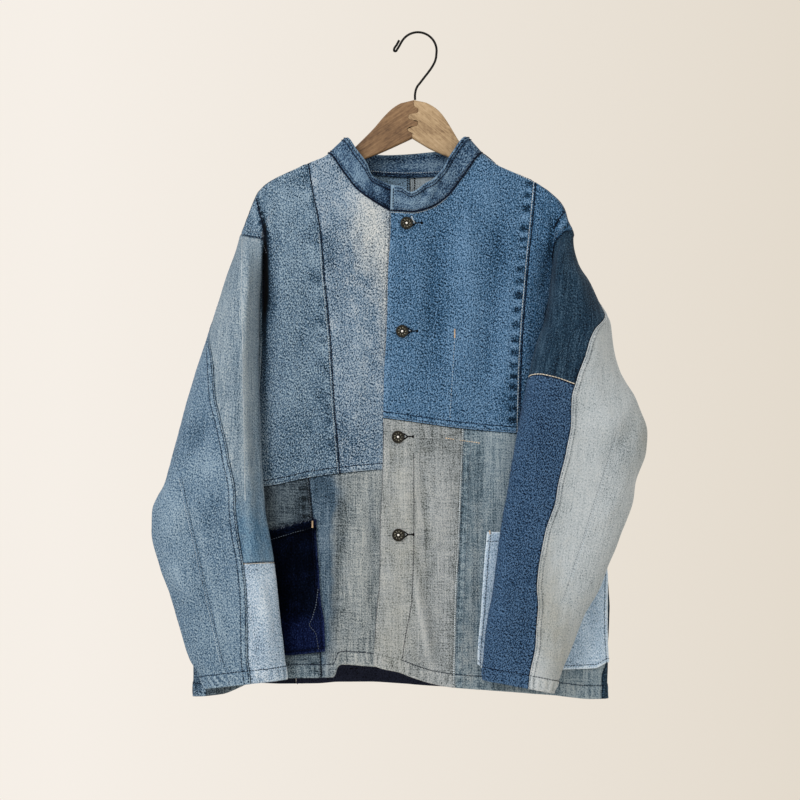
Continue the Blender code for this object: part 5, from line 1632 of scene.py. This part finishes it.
def sewFronts():
    # these two wide navy rows carry the painted shade along the chest seams as well as their stitching
    sew("navy", alongEdge("right_front_upper_centre", "left", 0.9), **roping, width=1.7)
    sew("white", alongEdge("right_front_upper_side", "right", 2.0, 0.25, 1.0), width=0.9, gap=0.2, tall=0.2)
    sew("white", alongEdge("left_front_upper_centre", "right", 2.2), stitch=4.0, gap=-0.3, width=1.0)
    sew("navy", alongEdge("left_front_upper_side", "left", 1.1), **roping, width=1.9)
    for name in frontLooks:
        if "upper" in name:
            sew("navy", alongEdge(name, "bottom", 7.6), stitch=4.0, gap=-0.4)
            sew("grey", alongEdge(name, "bottom", 1.6))
        else:
            first = 0.38 if name == "left_front_lower_centre" else 0.0
            sew("navy", alongEdge(name, "bottom", turnedHem, first), **closer, width=1.2)
    for name, side in (("right_front_upper_side", "left"), ("left_front_upper_side", "right")):
        sew("navy", alongEdge(name, side, 1.8, 0.02, 0.3))
        sew("grey", alongEdge(name, side, 7.4, 0.02, 0.12))
    sew("grey", alongEdge("right_front_lower_side", "right", 1.6))
    sew("navy", alongEdge("right_front_lower_centre", "left", 1.2))
    sew("white", alongEdge("left_front_lower_centre", "right", 1.4), width=1.5, gap=0.2)
    sew("navy", alongEdge("left_front_lower_side", "left", 1.0), width=0.6)
    sew("navy", alongEdge("left_front_lower_centre", "left", 0.6, 0.05, 0.86), **closer, width=0.7)
    sew("grey", alongEdge("left_front_lower_side", "left", 9.5))
    lap = np.linspace(-226, -412, 60)
    sew("grey", drawn(np.stack([lapEdge(lap) - 6.4, lap], axis=1)), stitch=3.0, gap=1.2)
    sew("navy", drawn(np.stack([lapEdge(lap) - 1.6, lap], axis=1)), width=0.8)
    sew("navy", drawn(((-5.6, -539), (-5.1, -604), (-5.6, -666), (-7.9, -728), (-16.6, -774),
                       (-22.5, -818)), lapLift), **closer, width=1)
    sew("tan", drawn(((34.6, -518.4), (78.1, -524.8)), lapLift))


def sewPockets():
    sew("grey", drawn(((-200, -651), (-186, -647.7), (-157.4, -638.7), (-131.8, -632.3)), pocketLift),
        width=0.8)
    fray = np.random.RandomState(5)
    for x in np.arange(-206, -131, 1.5):
        z = float(pocketCuts["right_pocket"]["top"](x)) + 1.0
        lean, reach = fray.uniform(-2.2, 2.2), fray.uniform(1.5, 5.0)
        end = drawn(((x, z - 2.6), (x + lean, z + reach * 0.6)), pocketLift - 0.4, gap=1.0)
        sew("navy", end, stitch=2.2, gap=-0.5, width=1.2, tall=0.7)
        if fray.rand() < 0.3:
            end = drawn(((x, z - 1.6), (x + 1.4 * lean, z + 0.5 * reach)), pocketLift, gap=1.0)
            sew("grey", end, stitch=1.6, gap=-0.3, width=0.8, tall=0.7)
    sew("grey", drawn(((-126.7, -704), (-130.6, -732), (-135.7, -749), (-139.5, -756.5),
                       (-130.6, -766.7), (-126.7, -789.8)), pocketLift))
    for name in pocketCuts:
        for side in ("left", "right", "bottom"):
            sew("navy", alongEdge(name, side, 5.0), width=0.9)
    sew("navy", alongEdge("left_pocket", "top", 12.0), width=0.9)
    # navy rows along the two shoulder folds are painted shadow of the folds, not stitching
    for foldShadow in (((-206, -213), (-202.5, -228), (-195.5, -258)),
                 ((187.4, -229), (181, -237), (174.0, -251))):
        sew("navy", drawn(foldShadow, lambda x: lapLift(x) + 0.8), stitch=5.0, gap=-2.0, width=1.8, tall=0.3)
    barTack((46.8, -385), 11.0, 2.5, lapLift)
    barTack((-134.4, -628), 9.0, 3.0, 3.6)
    barTack((91.0, -638.7), 5.0, 2.2, 3.6)
    sew("pale", drawn(((46.8, -391), (39.7, -507)), lapLift), width=0.6, stitch=3.2, gap=0.9)


def barTack(place, tall, wide, lift):
    # close overlapping stitches, one above the other
    x, z = place
    for height in np.arange(z - tall / 2, z + tall / 2, 0.9):
        line = drawn(((x - wide / 2, height), (x + wide / 2, height)), lift)
        sew("tan", line, stitch=wide, gap=0.1, width=0.8, tall=0.5)


def sewSleeves():
    for side, thread, edge in (("right", "navy", "right"), ("left", "grey", "left")):
        for place in felledStrips[side]["lines"]:
            sew(thread, alongEdge(side + "_sleeve_outer", edge, place))
        for part in ("outer", "front_lower"):
            sew("navy", alongEdge(side + "_sleeve_" + part, "bottom", turnedHem))
    sew("cream", alongEdge("right_sleeve_front_lower", "top", 0.8), width=0.9)
    sew("grey", alongEdge("right_sleeve_front_upper", "bottom", 1.0), stitch=3.2, gap=0.2, tall=0.5)
    sew("cream", alongEdge("left_sleeve_front_upper", "bottom", 1.0))
    sew("navy", alongEdge("left_sleeve_front_lower", "top", 0.9))
    oldSeamsAndCreaseHighlight = (("white", "right", (-303.9, -569.6), (-250.9, -803.8), dict(width=0.6)),
                ("navy", "right", (-300.4, -569.6), (-247.4, -803.8), dict(width=0.7)),
                ("white", "left", (256, -510), (185.6, -727), dict(width=0.6)),
                ("grey", "left", (252.8, -510), (182.4, -727), dict(width=0.7)),
                # the pale row down the pressed crease is a painted highlight, not stitching
                ("pale", "right", (-225, -264), (-219, -598), dict(stitch=5.0, gap=-1.0, width=1.1)))
    for thread, side, start, end, changes in oldSeamsAndCreaseHighlight:
        sew(thread, drawn((start, end), 0.0, onSleeve(side)), **changes)
    for number, reach in enumerate((70, 96, 84, 110, 92, 104, 60)):
        x = 222 + 5.2 * number
        ends = ((x + 0.325 * reach, -612 + reach), (x - 0.325 * reach, -612 - reach))
        sew("grey", drawn(ends, 0.0, onSleeve("left")), stitch=1.6, gap=2.0, width=0.6, tall=0.15)


def sewBack():
    for name, side in (("back_upper_left", "right"), ("back_lower_middle", "left"),
                       ("back_lower_middle", "right"), ("back_upper_left", "bottom"),
                       ("back_upper_right", "bottom")):
        for place in felledLines:
            sew("navy", alongEdge(name, side, place))
    for name in ("back_lower_left", "back_lower_middle", "back_lower_right"):
        sew("navy", alongEdge(name, "bottom", turnedHem))
    for x in (-13.2, -4.4):
        sew("black", drawn(((x, -183), (x, -236)), 0.5, insideBack), stitch=3.0, width=1.7, tall=0.4)
    sew("white", drawn(((-1.6, -183), (-1.8, -236)), 0.5, insideBack), width=0.7)


def sewCollar():
    sew("navy", collarLine(0.05, 0.0, 16.0), **roping, width=2.7)
    sew("white", alongEdge("left_front_upper_centre", "top", 4.0), width=1.2, gap=0.1)
    sew("navy", alongEdge("left_front_upper_centre", "top", 2.4), width=0.9)
    sew("grey", collarLine(0.14, 0.2, 5.0), width=0.9)
    sew("navy", collarLine(0.16, 11.0, 15.9), width=0.9)
    sew("navy", collarLine(0.80, 0.3, 15.9), stitch=4.0, gap=-0.4, width=1.3)
    sew("navy", collarLine(0.92, 0.3, 15.9), stitch=4.0, gap=-0.4, width=1.0)
    sew("navy", collarLine(0.14, 4.6, 11.4, -1), width=1.2)
    sew("white", collarLine(0.20, 4.6, 11.4, -1), width=0.8)
    share = np.linspace(0.14, 0.93, 9)
    sew("navy", collarCloth(0.13 + 0 * share, share, 1.75 + 0 * share), width=1.3)


sewFronts()
sewPockets()
sewSleeves()
sewBack()
sewCollar()

# buttons

button = dict(
    places=((-14.5, -244.4), (-20.4, -382.5), (-25.7, -517.1), (-25.0, -641.9)),
    profile=((0.0, 1.5), (1.6, 1.5), (2.1, 2.2), (2.9, 2.3), (3.4, 1.5), (4.9, 1.4), (5.6, 1.9), (6.2, 2.8),
             (6.9, 3.15), (7.7, 2.8), (8.15, 1.9), (8, 0.9), (7, 0.2), (0, 0)),
    looseThread=((6.2, 9.0), (7.6, 4.6), (9.4, 2.0)),
    leaves=9, leafPlace=4.6, leafLong=1.6, leafWide=0.85, leafTall=0.9, leafTwist=0.5,
    pin=((0.0, 3.2), (1.0, 3.1), (1.5, 2.6), (1.6, 1.2), (0.0, 1.1)))
buried = dict(lift=0.9, gap=-0.6, width=2.1, tall=0.6)
buttonhole = (          # threads, and their places across and up from the middle of the button
    # the first three black rows are the painted shade in the open slot
    ("black", ((6.9, 4.6), (12.2, 0.5)), buried),
    ("black", ((6.9, -3.4), (12.2, 0.2)), buried),
    ("black", ((12.0, 0.3), (20.4, 0.6)), buried),
    ("black", ((19.2, 2.2), (19.2, -1.4)), dict(gap=-0.4, width=3.0)),
    ("white", ((8.6, 1.6), (11.0, 0.4)), dict(gap=-0.4, width=1.2)))


def turned(name, profile, around, place):
    # a shape turned on its axis, closed at both poles
    shape = bmesh.new()
    points = [shape.verts.new((radius, 0, height)) for radius, height in profile]
    edges = [shape.edges.new(pair) for pair in zip(points, points[1:])]
    bmesh.ops.spin(shape, geom=points + edges, cent=(0, 0, 0), axis=(0, 0, 1), angle=2 * math.pi,
                   steps=around, use_merge=True)
    bmesh.ops.remove_doubles(shape, verts=shape.verts[:], dist=1e-4)
    bmesh.ops.recalc_face_normals(shape, faces=shape.faces[:])
    bmesh.ops.transform(shape, verts=shape.verts[:], matrix=place)
    return meshOf(name, shape)


def sewButtonhole(x, z):
    # the worked slot beside a button, as short overlapping stitches; the black rows that open from the
    # button paint the shade inside the slot
    for thread, line, style in buttonhole:
        line = [(x + right, z + up) for right, up in line]
        sew(thread, drawn(line, lapLift, gap=1.0), stitch=1.6, **style)


def setButtons():
    finishes = (
        finishOf("blackened brass", (0.0008,) * 3, (0.030, 0.028, 0.021), 2.0, 0.5, 0.3, 0.5, 0.25),
        finishOf("rubbed brass", (0.03, 0.03, 0.022), (0.36, 0.35, 0.28), 2.2, 0.5, 0.3),
        finishOf("bright nickel", (0.80, 0.80, 0.78), (0.95, 0.95, 0.93), 3.0, 0.35, 0.3))
    for number, (x, z) in enumerate(button["places"], 1):
        spot, outward = frontCloth(np.array([x]), np.array([z]), lapLift(np.array([x])) + 0.75)
        place = axesOf(Vector((1, 0, 0)), Vector(outward[0]).normalized())
        place = Matrix.Translation(Vector(spot[0]) * mm) @ place @ Matrix.Scale(mm, 4)
        whole = bmesh.new()
        whole.from_mesh(turned("disc", button["profile"], 28, place))
        disc = len(whole.faces)
        for leaf in range(button["leaves"]):
            angle = 2 * math.pi * leaf / button["leaves"]
            away = Matrix.Rotation(angle, 4, 'Z') @ Matrix.Translation((button["leafPlace"], 0, 1.5))
            away = away @ Matrix.Rotation(button["leafTwist"], 4, 'Z')
            size = Matrix.Diagonal((button["leafLong"], button["leafWide"], button["leafTall"], 1))
            bmesh.ops.create_icosphere(whole, subdivisions=1, radius=1.0, matrix=place @ away @ size)
        leaves = len(whole.faces)
        whole.from_mesh(turned("pin", button["pin"], 14, place))
        for index, face in enumerate(whole.faces):
            face.material_index = int(index >= disc) + int(index >= leaves)
            face.smooth = True
        name = "button_" + str(number)
        mesh = meshOf(name + "_tack", whole)
        for finish in finishes:
            mesh.materials.append(finish)
        standFor(linked(name + "_tack", mesh), name)
        sewButtonhole(x, z)
    x, z = button["places"][0]
    line = drawn([(x + right, z + up) for right, up in button["looseThread"]], lapLift, gap=1.0)
    sew("white", line, lift=1.4, stitch=1.8, gap=-0.6, width=1.7, tall=0.7)
    print("buttons are set")


setButtons()

# hanger

hanger = dict(half=5.5, bend=2.4, tips={"right": -200.0, "left": 168.0}, tipRound=2.2, wire=1.5, crown=24.0)

# the finger joint between the two arms, from its top down
joint = ((-5.1, -85.1), (-5.2, -91), (-4.6, -93.6), (-2.5, -94.6), (-0.6, -95.2), (0.5, -97), (0.5, -99.6),
         (-0.6, -101.4), (-3, -102.2), (-8.5, -102.8), (-11.2, -103.6), (-12.2, -105.6), (-12.2, -108.2),
         (-11, -110), (-8.5, -110.7), (-3, -111), (-0.9, -112), (-0.2, -114), (-0.3, -116.4),
         (-1.5, -118.2), (-4, -118.8), (-9, -119.2), (-12, -120.2), (-13.1, -122.4), (-12.6, -124.8),
         (-10.6, -126.2),
         (-8.2, -126.8), (-7.3, -128.6), (-7.2, -134.6))
armTops = {
    "right": level((-200, -216), (-190, -203), (-165, -190), (-142, -180), (-112, -168), (-96, -160),
                   (-79.6, -144.5), (-56, -120.8), (-43.5, -106.2), (-31, -94.5), (-20, -88.4), (-9, -85.5),
                   (-4.4, -85.1)),
    "left": level((-5.1, -85.1), (3.7, -86.1), (14.7, -90.4), (25.9, -97.9), (34.2, -107.6), (43.9, -122.9),
                  (52.2, -136.8), (66, -155), (80.6, -167), (106, -183.5), (130, -193), (151.6, -204),
                  (162, -213), (168, -221))}
armBottoms = {
    "right": level((-200, -222), (-190, -223), (-160, -209), (-112, -187), (-68.2, -161), (-50.2, -154.1),
                   (-7.2, -134.6)),
    "left": level((-7.2, -134.6), (16.4, -148.5), (40.1, -159), (80, -182), (120, -203), (155, -224),
                  (168, -227))}


def armOf(side):
    # sections across the arm from its tip to the finger joint, each a rounded slab
    rows, tip, tipRound = 44, hanger["tips"][side], hanger["tipRound"]
    away = -1 if side == "right" else 1
    run = runAlong(joint)
    finger = readAlong(np.linspace(1, 0, rows) * run[-1], run, np.array(joint))
    finger[:, 0] += away * 0.12
    near = away * 16.0 - 6.0
    stations = []
    rounded = tip - away * tipRound * (1 - np.cos(np.linspace(0, np.pi / 2, 6)))[:-1]
    for place in np.concatenate([rounded, np.linspace(tip - away * tipRound, near, 70)]):
        top, bottom = armTops[side](place), armBottoms[side](place)
        full = math.sqrt(1 - max(0.0, 1 - abs(place - tip) / tipRound) ** 2)
        middle, tall = (top + bottom) / 2, (top - bottom) / 2 * (0.55 + 0.45 * full)
        height = middle + tall * (2 * np.linspace(0, 1, rows) - 1)
        stations.append((np.full(rows, place), height, full * 0.5 + 0.5))
    x, z, full = stations[-1]
    for share in np.linspace(0, 1, 15)[1:]:
        stations.append((blend(x, finger[:, 0], share), blend(z, finger[:, 1], share), 1.0))
    stations.append((finger[:, 0] - away * 0.1, finger[:, 1], 0.86))
    across = np.linspace(0, 1, rows)
    edge = np.clip(np.minimum(across, 1 - across) * 40 / hanger["bend"], 0, 1)
    thick = hanger["half"] - hanger["bend"] * (1 - np.sqrt(np.clip(1 - (1 - edge) ** 2, 0, 1)))
    slab = bmesh.new()
    rings = []
    for x, z, full in stations:
        sections = [list(zip(x * mm, face * thick * full * mm, z * mm)) for face in (-1, 1)]
        front, back = ([slab.verts.new(place) for place in section] for section in sections)
        rings.append(front + back[::-1])
    for one, two in zip(rings, rings[1:]):
        for i in range(2 * rows):
            j = (i + 1) % (2 * rows)
            slab.faces.new((one[i], one[j], two[j], two[i]))
    for ring in (rings[0], rings[-1]):
        for i in range(rows - 1):
            slab.faces.new((ring[i], ring[i + 1], ring[2 * rows - 2 - i], ring[2 * rows - 1 - i]))
    bmesh.ops.recalc_face_normals(slab, faces=slab.faces[:])
    for face in slab.faces:
        face.smooth = True
    name = "hanger_arm_" + side
    piece = linked(name + "_wood", meshOf(name + "_wood", slab))
    standFor(piece, name)
    return piece


hookRoute = ((-3.7, -84.7), (-3.6, -77), (-1.5, -68.9), (3.6, -61.8), (9, -54.8), (14.4, -47.8),
             (19.2, -40.6), (22.6, -33))
hookTail = ((-23.8, -15.2), (-26.9, -20.2), (-28.3, -22), (-30.2, -21.8), (-30.6, -19.6),
            (-27.4, -14.2), (-24, -8))


def bendHook():
    crown = [(hanger["crown"] * math.cos(math.radians(turn)),
              2.2 - hanger["crown"] + hanger["crown"] * math.sin(math.radians(turn)))
             for turn in range(-8, 149, 12)]
    route = [*hookRoute, *crown, *hookTail]
    curve = bpy.data.curves.new("hook", 'CURVE')
    curve.dimensions = '3D'
    curve.bevel_depth = hanger["wire"] * mm
    curve.bevel_resolution = 5
    curve.use_fill_caps = True
    curve.resolution_u = 6
    wire = curve.splines.new('BEZIER')
    wire.bezier_points.add(len(route) - 1)
    for point, (x, z) in zip(wire.bezier_points, route):
        point.co = (x * mm, 0, z * mm)
        point.handle_left_type = point.handle_right_type = 'AUTO'
    draft = linked("hook draft", curve)
    bpy.context.view_layer.update()
    mesh = bpy.data.meshes.new_from_object(draft.evaluated_get(bpy.context.evaluated_depsgraph_get()))
    bpy.data.objects.remove(draft)
    mesh.name = "hanger_hook_wire"
    mesh.shade_smooth()
    piece = linked("hanger_hook_wire", mesh)
    mesh.materials.clear()
    mesh.materials.append(finishOf("black enamel", (0.0008,) * 3, (0.004,) * 3, 5.0, 0.5, gloss=0.15))
    standFor(piece, "hanger_hook")


def wood(name, dark, mid, light, turn, seed):
    material, tree, shader = shaderOf(name)
    place = nodeOf(tree, "Mapping", {"Rotation": (0, math.radians(turn), 0), "Scale": (1000, 1000, 1000),
                                     "Vector": nodeOf(tree, "TexCoord").outputs["Object"]}).outputs[0]

    def grain(across, along, number, detail):
        size = (1 / along, 1 / across, 1 / across)
        return noiseOf(tree, place, size, (seed + number, seed, number), detail)

    lines = grain(1.5, 34, 2, 3.0)
    fade = 0.5
    for figure, gain in ((grain(26, 60, 1, 3.0), 1.0), (lines, 0.9), (grain(2.2, 5, 3, 2.0), 0.7)):
        fade = sumOf(tree, fade, figure, gain, -0.5)
    feed(tree, shader, {"Base Color": dyeOf(tree, fade, dict(dark=dark, mid=mid, light=light)),
                        "Roughness": 0.62})
    bumpOf(tree, shader, lines, 0.25, 0.0003)
    return material


walnut = wood("walnut stain", (0.090, 0.044, 0.017), (0.180, 0.100, 0.045), (0.300, 0.185, 0.092), 33, 3)
beech = wood("beech", (0.215, 0.135, 0.068), (0.375, 0.262, 0.146), (0.53, 0.395, 0.25), -40, 9)
for side, stain in (("right", walnut), ("left", beech)):
    armOf(side).data.materials.append(stain)
bendHook()
print("hanger is hung")

stitchUp()
